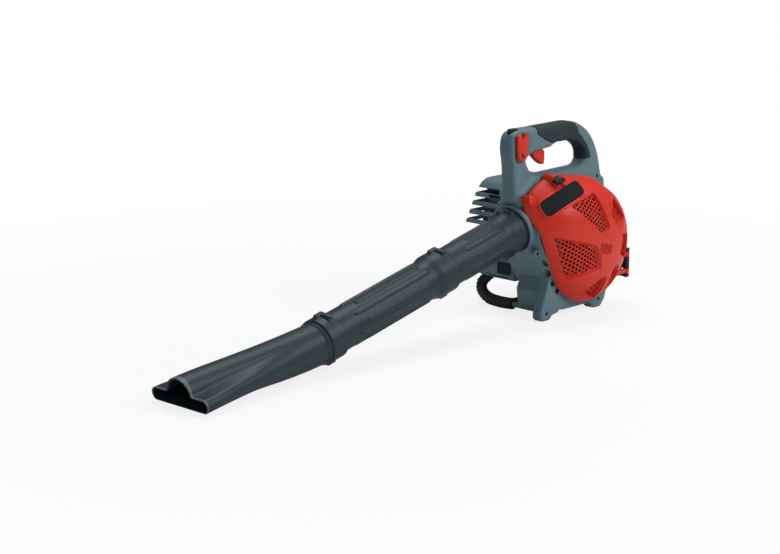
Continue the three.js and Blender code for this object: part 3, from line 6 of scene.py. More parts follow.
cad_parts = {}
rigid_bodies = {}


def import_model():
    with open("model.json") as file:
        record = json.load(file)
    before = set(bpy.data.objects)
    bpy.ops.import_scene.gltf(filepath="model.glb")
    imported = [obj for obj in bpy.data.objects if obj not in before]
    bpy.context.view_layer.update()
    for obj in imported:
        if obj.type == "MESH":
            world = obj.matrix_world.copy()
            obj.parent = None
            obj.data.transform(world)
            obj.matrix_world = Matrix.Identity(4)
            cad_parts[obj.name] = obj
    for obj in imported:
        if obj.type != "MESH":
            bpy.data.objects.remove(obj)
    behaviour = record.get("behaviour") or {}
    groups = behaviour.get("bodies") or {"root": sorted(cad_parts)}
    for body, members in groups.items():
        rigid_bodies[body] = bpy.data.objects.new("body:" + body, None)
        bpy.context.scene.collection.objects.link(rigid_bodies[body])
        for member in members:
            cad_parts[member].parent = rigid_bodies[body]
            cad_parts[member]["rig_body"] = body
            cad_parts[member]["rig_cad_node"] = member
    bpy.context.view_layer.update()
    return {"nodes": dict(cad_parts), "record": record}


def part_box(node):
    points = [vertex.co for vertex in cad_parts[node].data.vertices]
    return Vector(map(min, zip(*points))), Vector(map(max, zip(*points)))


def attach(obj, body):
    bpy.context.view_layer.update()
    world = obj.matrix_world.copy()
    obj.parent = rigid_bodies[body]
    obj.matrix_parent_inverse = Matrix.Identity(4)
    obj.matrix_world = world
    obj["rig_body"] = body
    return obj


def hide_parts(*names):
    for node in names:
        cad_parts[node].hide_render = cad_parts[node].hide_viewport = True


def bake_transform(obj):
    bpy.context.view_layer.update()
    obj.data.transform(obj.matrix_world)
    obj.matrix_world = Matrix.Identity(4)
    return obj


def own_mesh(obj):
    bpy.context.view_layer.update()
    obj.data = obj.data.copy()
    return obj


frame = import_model()

# ---------- The place: pale studio floor and the viewpoint ----------
# The blower stands on a plain pale floor under wide soft lamps. The ground under the middle
# of its fan is home, the point that every later piece is measured from, in millimetres.
X, Y, Z = Vector((1, 0, 0)), Vector((0, 1, 0)), Vector((0, 0, 1))
CRANK_PIN = Vector((0, 84, 146))
pin_low, pin_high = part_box("crank_pin")
home = (pin_low + pin_high) / 2 - CRANK_PIN / 1000


def at(x, y, z):
    """A point given in millimetres from home."""
    return home + Vector((x, y, z)) / 1000


def clear_selection():
    if bpy.context.object and bpy.context.object.mode != "OBJECT":
        bpy.ops.object.mode_set(mode="OBJECT")
    bpy.ops.object.select_all(action="DESELECT")


def alone(made):
    """Selects one piece and nothing else."""
    clear_selection()
    made.select_set(True)
    bpy.context.view_layer.objects.active = made


AZIMUTH, ELEVATION, DISTANCE = math.radians(-46), math.radians(13), 3.824
# Home lies right of the view's middle and below it, by these shares of the distance.
ASIDE, BELOW = 0.0855, 0.0145
back = Vector((math.sin(AZIMUTH) * math.cos(ELEVATION), -math.cos(AZIMUTH) * math.cos(ELEVATION),
               math.sin(ELEVATION)))
right = Vector((math.cos(AZIMUTH), math.sin(AZIMUTH), 0))
up = back.cross(right)
lens = bpy.data.cameras.new("viewpoint")
lens.sensor_width, lens.lens = 36, 92.3076923
viewpoint = bpy.data.objects.new("viewpoint", lens)
bpy.context.scene.collection.objects.link(viewpoint)
viewpoint.location = home + (back - right * ASIDE + up * BELOW) * DISTANCE
viewpoint.rotation_mode = "QUATERNION"
viewpoint.rotation_quaternion = Matrix((right, up, back)).transposed().to_quaternion()
lens.clip_start, lens.clip_end = 0.1, 40
bpy.context.scene.camera = viewpoint
bpy.context.scene.view_settings.view_transform = "Standard"


class Wire:
    """A shader socket that reads like a number in a sum."""

    def __init__(self, tree, socket):
        self.tree, self.socket = tree, socket

    def node(self, kind, settings=None, out=0, **inputs):
        made = self.tree.nodes.new("ShaderNode" + kind)
        for key, value in (settings or {}).items():
            if key == "stops":
                ramp = made.color_ramp
                while len(ramp.elements) < len(value):
                    ramp.elements.new(0.5)
                for stop, (place, shade) in zip(ramp.elements, value):
                    stop.position, stop.color = place, (*shade, 1)
            else:
                setattr(made, key, value)
        for key, value in inputs.items():
            numbered = key[0] == "i" and key[1:].isdigit()
            socket = made.inputs[int(key[1:]) if numbered else key.replace("_", " ")]
            if isinstance(value, Wire):
                self.tree.links.new(value.socket, socket)
            else:
                socket.default_value = value
        return Wire(self.tree, made.outputs[out])

    def _math(self, operation, other):
        return self.node("Math", {"operation": operation}, i0=self, i1=other)

    def __add__(self, other):
        return self._math("ADD", other)

    __radd__ = __add__

    def __mul__(self, other):
        return self._math("MULTIPLY", other)

    def __lt__(self, other):
        return self._math("LESS_THAN", other)


def finish_named(name):
    """A new material, its place on the piece as a Wire, and its surface shader."""
    material = bpy.data.materials.new(name)
    material.use_nodes = True
    tree = material.node_tree
    surface = tree.nodes["Principled BSDF"]
    coordinates = tree.nodes.new("ShaderNodeTexCoord")
    return material, Wire(tree, coordinates.outputs["Object"]), surface


def pale(name, shade, white_share):
    """Pale paint that keeps the shadow under the machine and clears to white away from it."""
    material, place, surface = finish_named(name)
    tree = material.node_tree
    tree.nodes.remove(surface)
    body = place.node("BsdfDiffuse", Color=(*shade, 1))
    glow = place.node("Emission", Color=(1, 1, 1, 1), Strength=1.0)
    middle = (home.x - 0.3, home.y, 0)
    away = place.node("VectorMath", {"operation": "DISTANCE"}, 1, i0=place, i1=middle)
    clear = away.node("MapRange", Value=away, From_Min=0.5, From_Max=1.5, To_Min=white_share,
                      To_Max=1.0)
    path = tree.nodes.new("ShaderNodeLightPath")
    seen = Wire(tree, path.outputs["Is Camera Ray"])
    mixed = place.node("MixShader", i0=seen * clear, i1=body, i2=glow)
    tree.links.new(mixed.socket, tree.nodes["Material Output"].inputs["Surface"])
    return material


clear_selection()
bpy.ops.mesh.primitive_plane_add(size=30, location=(0, 0, 0))
floor = bpy.context.object
floor.name = "studio_floor"
floor.data.materials.append(pale("studio_floor_paint", (0.82, 0.82, 0.82), 0.82))
world = bpy.data.worlds.new("studio")
bpy.context.scene.world = world
world.use_nodes = True
sky_tree = world.node_tree
sky = sky_tree.nodes["Background"]
sky_path = sky_tree.nodes.new("ShaderNodeLightPath")
camera_sees = Wire(sky_tree, sky_path.outputs["Is Camera Ray"])
level = sky_tree.nodes.new("ShaderNodeMix")
level.data_type = "RGBA"
sky_tree.links.new(camera_sees.socket, level.inputs["Factor"])
level.inputs["A"].default_value = (0.17, 0.18, 0.19, 1)
level.inputs["B"].default_value = (1, 1, 1, 1)
sky_tree.links.new(level.outputs["Result"], sky.inputs["Color"])
for name, place, size, power in [
    ("key", (0.7, -2.3, 2.0), 1.5, 56),
    ("top", (0.3, 0.6, 2.7), 1.4, 42),
    ("fill", (-2.6, -0.5, 1.3), 2.0, 4),
]:
    lamp = bpy.data.lights.new(name, "AREA")
    lamp.size, lamp.energy = size, power
    holder = bpy.data.objects.new(name, lamp)
    bpy.context.scene.collection.objects.link(holder)
    holder.location = home + Vector(place)
    holder.rotation_mode = "QUATERNION"
    holder.rotation_quaternion = Vector(place).to_track_quat("Z", "Y")

# ---------- Fan casing: two blue-grey halves with the handle ----------
# The casing is moulded in glass-filled nylon as a left and a right half, screwed together
# on the middle seam. Its skin has a fine even grain and soft moulded edges.


def moulded(name, shade, roughness, grain=0.5, mottle=0.08):
    """Moulded plastic: fine spark grain, faint cloudiness and slight handling marks."""
    material, place, surface = finish_named(name)
    cloud = place.node("TexNoise", Vector=place, Scale=14.0, Detail=5.0, Roughness=0.6)
    fine = place.node("TexNoise", Vector=place, Scale=1400.0, Detail=2.0)
    scuff = place.node("TexNoise", Vector=place, Scale=60.0, Detail=8.0, Roughness=0.75)
    dark = [c * (1 - mottle) for c in shade]
    light = [min(1, c * (1 + mottle)) for c in shade]
    colour = cloud.node("ValToRGB", {"stops": [(0.3, dark), (0.7, light)]}, Fac=cloud)
    place.tree.links.new(colour.socket, surface.inputs["Base Color"])
    rough = roughness - 0.05 + cloud * 0.05 + scuff * 0.08
    place.tree.links.new(rough.socket, surface.inputs["Roughness"])
    bump = place.node("Bump", Strength=grain * 0.35, Distance=0.0004, Height=fine)
    place.tree.links.new(bump.socket, surface.inputs["Normal"])
    surface.inputs["Specular IOR Level"].default_value = 0.3
    return material


grey_plastic = moulded("blue_grey_nylon", (0.118, 0.19, 0.218), 0.5)
red_plastic = moulded("red_nylon", (0.62, 0.028, 0.012), 0.4, 0.35, 0.04)
DUCT_SHADE, DUCT_ROUGHNESS = (0.014, 0.034, 0.039), 0.45
duct_plastic = moulded("dark_green_black_duct", DUCT_SHADE, DUCT_ROUGHNESS, 0.4)
black_plastic = moulded("black_nylon", (0.012, 0.013, 0.014), 0.42, 0.5)


def copied(name, sources):
    """One welded copy of CAD solids, ready for finer modelling."""
    clear_selection()
    copies = []
    for source in sources:
        twin = frame["nodes"][source].copy()
        twin.data = twin.data.copy()
        twin.parent = None
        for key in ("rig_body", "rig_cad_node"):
            if key in twin:
                del twin[key]
        twin.data.materials.clear()
        bpy.context.scene.collection.objects.link(twin)
        copies.append(twin)
    for twin in copies:
        twin.select_set(True)
    bpy.context.view_layer.objects.active = copies[0]
    if len(copies) > 1:
        bpy.ops.object.join()
    made = bpy.context.object
    made.name = name
    bpy.ops.object.mode_set(mode="EDIT")
    bpy.ops.mesh.select_all(action="SELECT")
    bpy.ops.mesh.remove_doubles(threshold=0.00001)
    bpy.ops.object.mode_set(mode="OBJECT")
    return made


def worked(made, kind, **settings):
    """Applies one modifier to the selected piece."""
    step = made.modifiers.new("step", kind)
    for key, value in settings.items():
        setattr(step, key, value)
    bpy.ops.object.modifier_apply(modifier="step")


def rounded_off(made, voxel, passes, most=150000):
    """Even skin over the solid, its edges rounded as a mould leaves them."""
    alone(made)
    worked(made, "REMESH", mode="VOXEL", voxel_size=voxel / 1000, use_smooth_shade=True)
    worked(made, "SMOOTH", factor=0.5, iterations=passes)
    triangles = 2 * len(made.data.polygons)
    if triangles > most:
        worked(made, "DECIMATE", ratio=most / triangles)
    bpy.ops.object.shade_smooth()
    return made


def placed(made, material, body, slot, *stands_for):
    """Gives a finished piece its material and body and hides the solids it stands for. Slot is not
    used.
    """
    made.data.materials.clear()
    made.data.materials.append(material)
    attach(made, body)
    if stands_for:
        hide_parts(*stands_for)
    return made


# The handle's bar bends outside and in the hand's opening: control points in x and z.
HANDLE_BENDS = (((90, 268), (78, 318), (45, 358), (-10, 358)),
                ((-8, 322), (22, 320), (45, 304), (44, 286)))
BEND_STEPS, BEND_DEPTH, BEND_FADE = 4, 18, 8
BEND_FROM_X, BEND_FROM_Z = -25, 255


def on_bend(bend, t):
    a, b, c, d = (Vector(corner) for corner in bend)
    return a * (1 - t) ** 3 + b * 3 * t * (1 - t) ** 2 + c * 3 * t ** 2 * (1 - t) + d * t ** 3


def bent(made):
    """Moves the flat steps of each bend out onto the curve they stand for."""
    chords = []
    for bend in HANDLE_BENDS:
        ends = [on_bend(bend, k / BEND_STEPS) for k in range(BEND_STEPS + 1)]
        chords.append([(start, end - start) for start, end in zip(ends, ends[1:])])
    for point in made.data.vertices:
        place = Vector(((point.co.x - home.x) * 1000, (point.co.z - home.z) * 1000))
        if place.x < BEND_FROM_X or place.y < BEND_FROM_Z:
            continue
        for bend, steps in zip(HANDLE_BENDS, chords):
            options = []
            for k, (start, chord) in enumerate(steps):
                share = min(1, max(0, (place - start).dot(chord) / chord.dot(chord)))
                options.append(((place - start - chord * share).length, k, share))
            apart, k, share = min(options)
            if apart < BEND_DEPTH:
                shift = on_bend(bend, (k + share) / BEND_STEPS) - steps[k][0] - steps[k][1] * share
                shift *= min(1, (BEND_DEPTH - apart) / BEND_FADE) / 1000
                point.co += Vector((shift.x, 0, shift.y))
    return made


casing = bent(rounded_off(copied("fan_casing", ["case_left", "case_right"]), 1.9, 3, 190000))
placed(casing, grey_plastic, "housing", "grey_plastic", "case_left", "case_right")

# ---------- Blow tubes: two ribbed sections in dark ducting plastic ----------
# Each section is blow-moulded with a wide smooth collar at the engine end, long stiffening
# ribs along its length and small bayonet hooks that lock it to its neighbour.
PITCH = math.radians(13.5)
duct_way = Vector((-math.cos(PITCH), 0, -math.sin(PITCH)))
duct_turn = duct_way.to_track_quat("Z", "X")
NECK = (-138, 0, 173)
TUBE_R, COLLAR_R, TUBE_WALL, SOCKET, OVERLAP = 36.5, 41.0, 2.5, 40.0, 34
UPPER_FROM, LOWER_FROM, NOZZLE_FROM = -19.7, 200.0, 488.0
RIBS, RIB_CLEAR, RIB_STAGGER = 12, 62, 26
HOOK_TURNS = math.radians(-8), math.radians(172)


def lathed(name, start, way, profile, sides=96):
    """A ring drawn out along its axis, ring by ring, as (radius, distance) in millimetres."""
    clear_selection()
    radius, reach = max(profile[0][0], 0.001), profile[0][1]
    centre = start + way * reach / 1000
    bpy.ops.mesh.primitive_circle_add(vertices=sides, radius=radius / 1000, location=centre,
                                      rotation=way.to_track_quat("Z", "X").to_euler())
    made = bpy.context.object
    made.name = name
    bpy.ops.object.transform_apply(location=True, rotation=True, scale=True)
    bpy.ops.object.mode_set(mode="EDIT")
    bpy.ops.mesh.select_all(action="SELECT")
    for next_radius, next_reach in profile[1:]:
        bpy.ops.mesh.extrude_region_move()
        bpy.ops.transform.translate(value=way * (next_reach - reach) / 1000)
        centre = start + way * next_reach / 1000
        size = max(next_radius, 0.001) / radius
        bpy.ops.transform.resize(value=(size, size, size), center_override=centre)
        radius, reach = max(next_radius, 0.001), next_reach
    bpy.ops.mesh.select_all(action="SELECT")
    bpy.ops.mesh.remove_doubles(threshold=0.00002)
    bpy.ops.mesh.normals_make_consistent(inside=False)
    bpy.ops.object.mode_set(mode="OBJECT")
    return made


def bevelled_block(name, size, soft, centre=(0, 0, 0)):
    """A block of x, y, z millimetres with its edges rounded, at the home point."""
    clear_selection()
    bpy.ops.mesh.primitive_cube_add(size=0.001, location=(0, 0, 0))
    made = bpy.context.object
    made.name = name
    bpy.ops.object.mode_set(mode="EDIT")
    bpy.ops.mesh.select_all(action="SELECT")
    bpy.ops.transform.resize(value=size)
    bpy.ops.mesh.bevel(offset=soft / 1000, segments=3, affect="EDGES")
    bpy.ops.transform.translate(value=Vector(centre) / 1000)
    bpy.ops.object.mode_set(mode="OBJECT")
    return made


def joined(first, *others):
    clear_selection()
    for other in (first, *others):
        other.select_set(True)
    bpy.context.view_layer.objects.active = first
    bpy.ops.object.join()
    return first


def around_duct(made, spin, reach):
    """Turns a piece drawn along Z about the duct axis and moves it along the duct."""
    turn = duct_turn.to_matrix().to_4x4() @ Matrix.Rotation(spin, 4, "Z")
    made.data.transform(Matrix.Translation(at(*NECK) + duct_way * reach / 1000) @ turn)
    return made


def duct_hook(spin, reach):
    arm = bevelled_block("hook_arm", (9, 28, 9), 1.6, (COLLAR_R - 0.2, 0, -4))
    catch = bevelled_block("hook_catch", (9, 9, 19), 1.6, (COLLAR_R - 0.2, 9.5, 2))
    return around_duct(joined(arm, catch), spin, reach)


def ribbed_tube(name, start, length, collar, hook_at):
    """A blow tube: collar, smooth pipe that runs on into the next socket, ribs and two hooks."""
    end, far = start + collar, start + length + OVERLAP
    inner, skin = TUBE_R + 0.8, TUBE_R - TUBE_WALL
    tube = lathed(name, at(*NECK), duct_way, [
        (COLLAR_R - 1, start), (COLLAR_R, start + 1), (COLLAR_R, end - 2), (COLLAR_R - 0.6, end),
        (TUBE_R + 0.6, end + 11), (TUBE_R, end + 13), (TUBE_R, far - 0.6), (TUBE_R - 0.6, far),
        (skin, far), (skin, end), (inner, end - 3), (inner, start), (COLLAR_R - 1, start)])
    ribs = []
    for k in range(RIBS):
        short = RIB_STAGGER if k % 2 else 0
        long = length - collar - RIB_CLEAR - short
        rib = bevelled_block("rib", (6.4, 6.6, long), 2.6, (TUBE_R - 0.9, 0, 0))
        spin = (k + 0.5) * 2 * math.pi / RIBS
        ribs.append(around_duct(rib, spin, end + 24 + short * 0.3 + long / 2))
    hooks = [duct_hook(turn, hook_at) for turn in HOOK_TURNS]
    tube = joined(tube, *ribs, *hooks)
    return rounded_off(tube, 1.35, 2, 190000)


def edge_highlighted(name, shade, roughness, highlight_edge_x):
    """Ducting plastic with a painted highlight: its cut edge at the mouth is painted paler."""
    material = moulded(name, shade, roughness, 0.4)
    tree = material.node_tree
    surface = tree.nodes["Principled BSDF"]
    place = Wire(tree, tree.nodes["Texture Coordinate"].outputs["Object"])
    across = place.node("SeparateXYZ", Vector=place)
    # Painted highlight: the thin cut edge at the mouth, past this x, is given a paler colour.
    edge = across < highlight_edge_x
    base = surface.inputs["Base Color"].links[0].from_socket
    mixed = place.node("Mix", {"data_type": "RGBA"}, 2, i0=edge, i6=Wire(tree, base),
                       i7=(0.11, 0.15, 0.155, 1))
    tree.links.new(mixed.socket, surface.inputs["Base Color"])
    return material


upper_len, lower_len = LOWER_FROM - UPPER_FROM, NOZZLE_FROM - LOWER_FROM
upper_tube = ribbed_tube("upper_blow_tube", UPPER_FROM, upper_len, SOCKET + 18, 26)
placed(upper_tube, duct_plastic, "upper_tube", "duct_plastic", "blow_tube_upper")
lower_tube = ribbed_tube("lower_blow_tube", LOWER_FROM, lower_len, SOCKET, LOWER_FROM + 16)
placed(lower_tube, duct_plastic, "lower_tube", "duct_plastic", "blow_tube_lower")

# ---------- Nozzle: round socket that flattens to a wide mouth with a raised middle ----------
# One moulding: it grips the lower tube, steps in behind a dark line, then its skin sweeps
# down to run along the ground and widens to a low mouth with a humped middle.
NOZZLE_LEN, MOUTH_W, MOUTH_H, MOUTH_DOME, HUMP_HALF = 344.0, 137.0, 23.0, 27.0, 31.0
HUMP_R = (HUMP_HALF ** 2 + MOUTH_DOME ** 2) / 2 / MOUTH_DOME
bend_start = Vector(NECK) + duct_way * (NOZZLE_FROM + SOCKET + 2)
bend_end = Vector((bend_start.x - NOZZLE_LEN + 50, 0, 3))
bend_mid = Vector((bend_start.x - (bend_start.z - 17) / math.tan(PITCH) * 1.6, 0, 17))


def eased(x):
    x = min(1.0, max(0.0, x))
    return x * x * (3 - 2 * x)


def mouth_point(angle):
    """The mouth's outline, flat below and humped above, as y and height."""
    half, low = MOUTH_W / 2, MOUTH_H / 2
    y = half * (0.55 * math.cos(angle) + 0.45 * math.cos(angle) ** 3)
    over = max(0.0, abs(y) - (half - low))
    lift = math.sqrt(max(0.0, low * low - over * over))
    hump = math.sqrt(HUMP_R ** 2 - y * y) - HUMP_R + MOUTH_DOME if abs(y) < HUMP_HALF else 0
    return (y, low + lift + hump) if math.sin(angle) >= 0 else (y, low - lift)


def nozzle_point(share, angle):
    """Place on the nozzle's skin, from the round socket (0) to the mouth (1)."""
    blend = eased(share)
    centre = bend_start * (1 - share) ** 2 + bend_mid * 2 * share * (1 - share)
    centre += bend_end * share ** 2
    way = ((bend_mid - bend_start) * (1 - share) + (bend_end - bend_mid) * share).normalized()
    my, mz = mouth_point(angle)
    radius = TUBE_R + 0.5
    y = (1 - blend) * radius * math.cos(angle) + blend * my
    z = (1 - blend) * radius * math.sin(angle) + blend * mz
    lift = Vector((way.z, 0, -way.x))
    return centre + lift * z + Vector((0, y, 0))


RINGS, RING_GAP = 44, 5
skin = lathed("nozzle_skin", at(0, 0, 0), Vector((-1, 0, 0)),
              [(40, RING_GAP * k) for k in range(RINGS + 1)], 120)
for point in skin.data.vertices:
    ring = round((home.x - point.co.x) * 1000 / RING_GAP)
    angle = math.atan2(point.co.z - home.z, point.co.y - home.y)
    point.co = home + nozzle_point(ring / RINGS, angle) / 1000
alone(skin)
worked(skin, "SOLIDIFY", thickness=0.0019, offset=-1, use_even_offset=True)
STEP_AT, BORE, END = NOZZLE_FROM + SOCKET - 5, TUBE_R - TUBE_WALL, NOZZLE_FROM + SOCKET + 6
socket = lathed("nozzle_socket", at(*NECK), duct_way, [
    (COLLAR_R - 1, NOZZLE_FROM), (COLLAR_R, NOZZLE_FROM + 1), (COLLAR_R, STEP_AT - 1),
    (COLLAR_R - 0.7, STEP_AT), (COLLAR_R - 3.6, STEP_AT + 0.3), (COLLAR_R - 3.6, STEP_AT + 3.2),
    (COLLAR_R - 1.4, STEP_AT + 3.6), (COLLAR_R - 1.6, STEP_AT + 5.5), (TUBE_R + 0.5, END),
    (BORE, END), (BORE, STEP_AT - 1), (TUBE_R + 0.8, STEP_AT - 3), (TUBE_R + 0.8, NOZZLE_FROM),
    (COLLAR_R - 1, NOZZLE_FROM)])
hooks = [duct_hook(turn, NOZZLE_FROM + 16) for turn in HOOK_TURNS]
nozzle = rounded_off(joined(skin, socket, *hooks), 1.3, 1, 190000)
# The nozzle's plastic carries a painted highlight along the cut edge of its mouth.
nozzle_plastic = edge_highlighted("nozzle_plastic", DUCT_SHADE, DUCT_ROUGHNESS,
                        home.x + bend_end.x / 1000 + 0.0003)
placed(nozzle, nozzle_plastic, "nozzle_end", "duct_plastic", "nozzle")

# ---------- Intake cover: the red perforated dome ----------
# One red moulding swings on the hinge at the back: a dome whose raised arms run like a star
# between sunk windows, each closed by a panel of small round holes that keeps leaves out.
FACE_Y, FAN_Z, DOME_R, DOME_DEPTH = -60.0, 132.0, 112.0, 47.0
KNOB_X, KNOB_Z, HINGE_X, HINGE_Y = -86, 262, 114, -66
RIM_CORNERS = [(52, 99), (8, 125), (-38, 134), (-88, 135), (-134, 114), (-150, 96), (-151, 72),
               (-140, 40), (-97.6, -55)]


def sharp_rim(angle):
    """How far the rim lies from the dome's middle: a circle with one drawn-out corner."""
    c, s = math.cos(angle), math.sin(angle)
    for (x1, z1), (x2, z2) in zip(RIM_CORNERS, RIM_CORNERS[1:]):
        if x1 * s - z1 * c > 0 >= x2 * s - z2 * c and x1 * c + z1 * s > 0:
            return (x1 * (z2 - z1) - z1 * (x2 - x1)) / (c * (z2 - z1) - s * (x2 - x1))
    return DOME_R


def cover_point(angle, share, inset):
    """Place on the dome in millimetres, from its middle (0) to the rim (1), sunk by the inset."""
    rim = sum(sharp_rim(angle + math.radians(2 * k)) for k in (-2, -1, 0, 1, 2)) / 5
    turn = math.degrees(angle) % 360
    back = 30 * eased((turn - 88) / 34) * (1 - eased((turn - 150) / 16)) * share ** 5
    height = max(0.0, 1 - share ** 2.5) ** 0.72
    reach = share * (rim - inset)
    return Vector((reach * math.cos(angle), FACE_Y - 0.3 - height * DOME_DEPTH + inset + back,
                   FAN_Z + reach * math.sin(angle)))


def dome_layer(name, outer, inner, rings=26, sides=160):
    """The dome between two depths under its skin, closed along the rim."""
    made = lathed(name, at(0, 0, 0), Y, [(10, k) for k in range(2 * rings + 2)], sides)
    for point in made.data.vertices:
        ring = round((point.co.y - home.y) * 1000)
        angle = math.atan2(point.co.z - home.z, point.co.x - home.x)
        share = (ring if ring <= rings else 2 * rings + 1 - ring) / rings
        place = cover_point(angle, share ** 0.8, outer if ring <= rings else inner)
        point.co = home + place / 1000
    alone(made)
    bpy.ops.object.mode_set(mode="EDIT")
    bpy.ops.mesh.select_all(action="SELECT")
    bpy.ops.mesh.remove_doubles(threshold=0.00001)
    bpy.ops.mesh.normals_make_consistent(inside=False)
    bpy.ops.object.mode_set(mode="OBJECT")
    return made


def drawn_out(name, places, way, soft, segments):
    """A flat outline drawn out into a block; its corners are rounded by the soft radius in mm."""
    clear_selection()
    bpy.ops.mesh.primitive_circle_add(vertices=len(places), radius=0.01, fill_type="NGON",
                                      location=(0, 0, 0))
    made = bpy.context.object
    made.name = name
    for point, place in zip(made.data.vertices, places):
        point.co = place
    bpy.ops.object.mode_set(mode="EDIT")
    bpy.ops.mesh.select_all(action="SELECT")
    if soft:
        bpy.ops.mesh.bevel(offset=soft / 1000, segments=segments, affect="VERTICES")
        bpy.ops.mesh.select_all(action="SELECT")
    bpy.ops.mesh.extrude_region_move(TRANSFORM_OT_translate={"value": way})
    bpy.ops.mesh.select_all(action="SELECT")
    bpy.ops.mesh.normals_make_consistent(inside=False)
    bpy.ops.object.mode_set(mode="OBJECT")
    return made


def prism(name, corners, near, far, soft=0):
    """An outline in x and z that runs along y from near to far, in millimetres."""
    places = [at(x, near, z) for x, z in corners]
    return drawn_out(name, places, (0, (far - near) / 1000, 0), soft, 4)


def round_prism(name, x, z, radius, near, far):
    turns = [k * math.pi / 16 for k in range(32)]
    corners = [(x + radius * math.cos(turn), z + radius * math.sin(turn)) for turn in turns]
    return prism(name, corners, near, far)


def cut(made, tool, operation="DIFFERENCE", keep=False):
    """Cuts the piece with the tool, or keeps only what both share."""
    alone(made)
    worked(made, "BOOLEAN", operation=operation, object=tool, solver="EXACT")
    if not keep:
        bpy.data.objects.remove(tool)
    return made


def spread(corners, extra):
    """Corners pushed away from their middle."""
    middle = Vector((sum(x for x, _ in corners), sum(z for _, z in corners))) / len(corners)
    return [tuple(Vector(corner) + (Vector(corner) - middle).normalized() * extra)
            for corner in corners]


windows = [[(x * DOME_R, FAN_Z + z * DOME_R) for x, z in corners] for corners in (
    [(-0.71, 0.75), (-0.14, 0.87), (0.08, 0.32), (-0.05, 0.2)],
    [(-1.05, 0.27), (-0.73, -0.46), (-0.14, -0.34), (-0.18, -0.08), (-0.32, 0.04)],
    [(-0.32, -0.75), (-0.09, -0.87), (0.07, -0.9), (0.09, -0.61), (0, -0.54)],
    [(0.23, -0.79), (0.39, -0.73), (0.52, -0.54), (0.37, -0.39), (0.27, -0.46)],
    [(0.75, -0.32), (0.79, 0.05), (0.5, 0.13), (0.45, -0.18)],
    [(0.64, 0.39), (0.43, 0.7), (0.21, 0.52), (0.41, 0.25)])]


def window_prisms(extra, soft):
    """The outlines of all windows, wider by the extra, as one cutting tool."""
    tools = [prism("window", spread(corners, extra), -170, -40, soft) for corners in windows]
    return joined(*tools)


def over_window(x, z, margin=3):
    return any(min(p[0] for p in w) - margin < x < max(p[0] for p in w) + margin
               and min(p[1] for p in w) - margin < z < max(p[1] for p in w) + margin
               for w in windows)


# Each window sinks in steps, given as depth and extra width, that the smoothing turns into
# sloping walls.
WINDOW_STEPS = [(1.9, 4.6), (3.5, 3.2), (5.2, 1.7), (7, 0)]
rooms = []
for deep, extra in WINDOW_STEPS:
    outline = window_prisms(extra, 3.5 + extra * 0.4)
    rooms.append(cut(dome_layer("window_room", -9, deep), outline, "INTERSECT"))
pans = cut(dome_layer("window_pans", 1.3, 9), window_prisms(7, 6), "INTERSECT")
for room in rooms:
    pans = cut(pans, room, keep=True)
HOLE_PITCH, HOLE_R = 8.0, 2.8
clear_selection()
bpy.ops.mesh.primitive_cylinder_add(vertices=8, radius=HOLE_R / 1000, depth=0.14,
                                    location=(0, 0, 0), rotation=(math.pi / 2, 0, 0))
hole = bpy.context.object
bpy.ops.object.transform_apply(rotation=True)
holes = []
for column in range(-18, 16):
    for row in range(-15, 14):
        x = column * HOLE_PITCH * math.sqrt(3) / 2
        z = FAN_Z + (row + column % 2 / 2) * HOLE_PITCH
        if over_window(x, z):
            twin = hole.copy()
            twin.data = hole.data.copy()
            twin.location = at(x, -100, z)
            bpy.context.scene.collection.objects.link(twin)
            holes.append(twin)
holes = joined(hole, *holes)
bpy.ops.object.transform_apply(location=True)
holes = cut(holes, window_prisms(-0.6, 3), "INTERSECT")
pans = cut(pans, holes)
shell = dome_layer("intake_cover", 0, 2.6)
for room in rooms:
    shell = cut(shell, room)
SQUARE = ((-1, -1), (1, -1), (1, 1), (-1, 1))
for k in range(-2, 3):
    middle_x, middle_z = k * 7 - 2, FAN_Z - 4 - k * 1.8
    slot_corners = [(middle_x + a * 1.3 + b * 2.1, middle_z + b * 9.8) for a, b in SQUARE]
    shell = cut(shell, prism("slot", slot_corners, -130, -90, 1.1))

# The badge sits in a sunk seat with a raised edge on the flat corner above the duct.
along = Vector((0.84, -0.29, 0.46)).normalized()
across = Vector((-0.23, 0.62, 0.75))
out_of = -across.cross(along).normalized()
across = out_of.cross(along).normalized()
on_corner = Matrix((along, across, out_of)).transposed().to_4x4()
on_corner = Matrix.Translation(at(-88, -66.5, 228)) @ on_corner
BADGE_HALF_LEN, BADGE_HALF_WIDE, BADGE_ROUND = 47, 15.5, 9


def badge_form(name, grow, low, high):
    """The badge's outline, larger by grow, between two heights over its seat."""
    length, width = (BADGE_HALF_LEN + grow) / 1000, (BADGE_HALF_WIDE + grow) / 1000
    places = [(x * length, y * width, low / 1000) for x, y in SQUARE]
    made = drawn_out(name, places, (0, 0, (high - low) / 1000), BADGE_ROUND + grow, 8)
    made.data.transform(on_corner)
    return made


# The thumb screw turns in a round recess with its own wall and floor.
ROOM_R, RECESS_R, RECESS_FLOOR = 17.5, 19.5, -51.6
near_skin = dome_layer("near_skin", -1.6, 9)
seat = cut(badge_form("badge_seat", 3.6, -8, 14), near_skin, "INTERSECT")
near_skin = dome_layer("near_skin", 0.3, 17)
recess = cut(round_prism("recess", KNOB_X, KNOB_Z, RECESS_R, -100, -48), near_skin, "INTERSECT")
knob_room = round_prism("room", KNOB_X, KNOB_Z, ROOM_R, -120, RECESS_FLOOR)
badge_room = badge_form("badge_room", 0.4, 0, 26)
recess = cut(recess, knob_room, keep=True)
recess = cut(recess, round_prism("bore", KNOB_X, KNOB_Z, 3.8, -70, -30))
recess = cut(recess, badge_room, keep=True)
seat = cut(cut(seat, badge_room, keep=True), knob_room, keep=True)
shell = cut(cut(shell, badge_room), knob_room)
duct_side_lug = lathed("duct_side_lug", at(-145, -46, 231), Y,
                       [(0, 0), (6, 0), (8.2, 1.6), (8.8, 4), (8.8, 20), (0, 20)], 48)
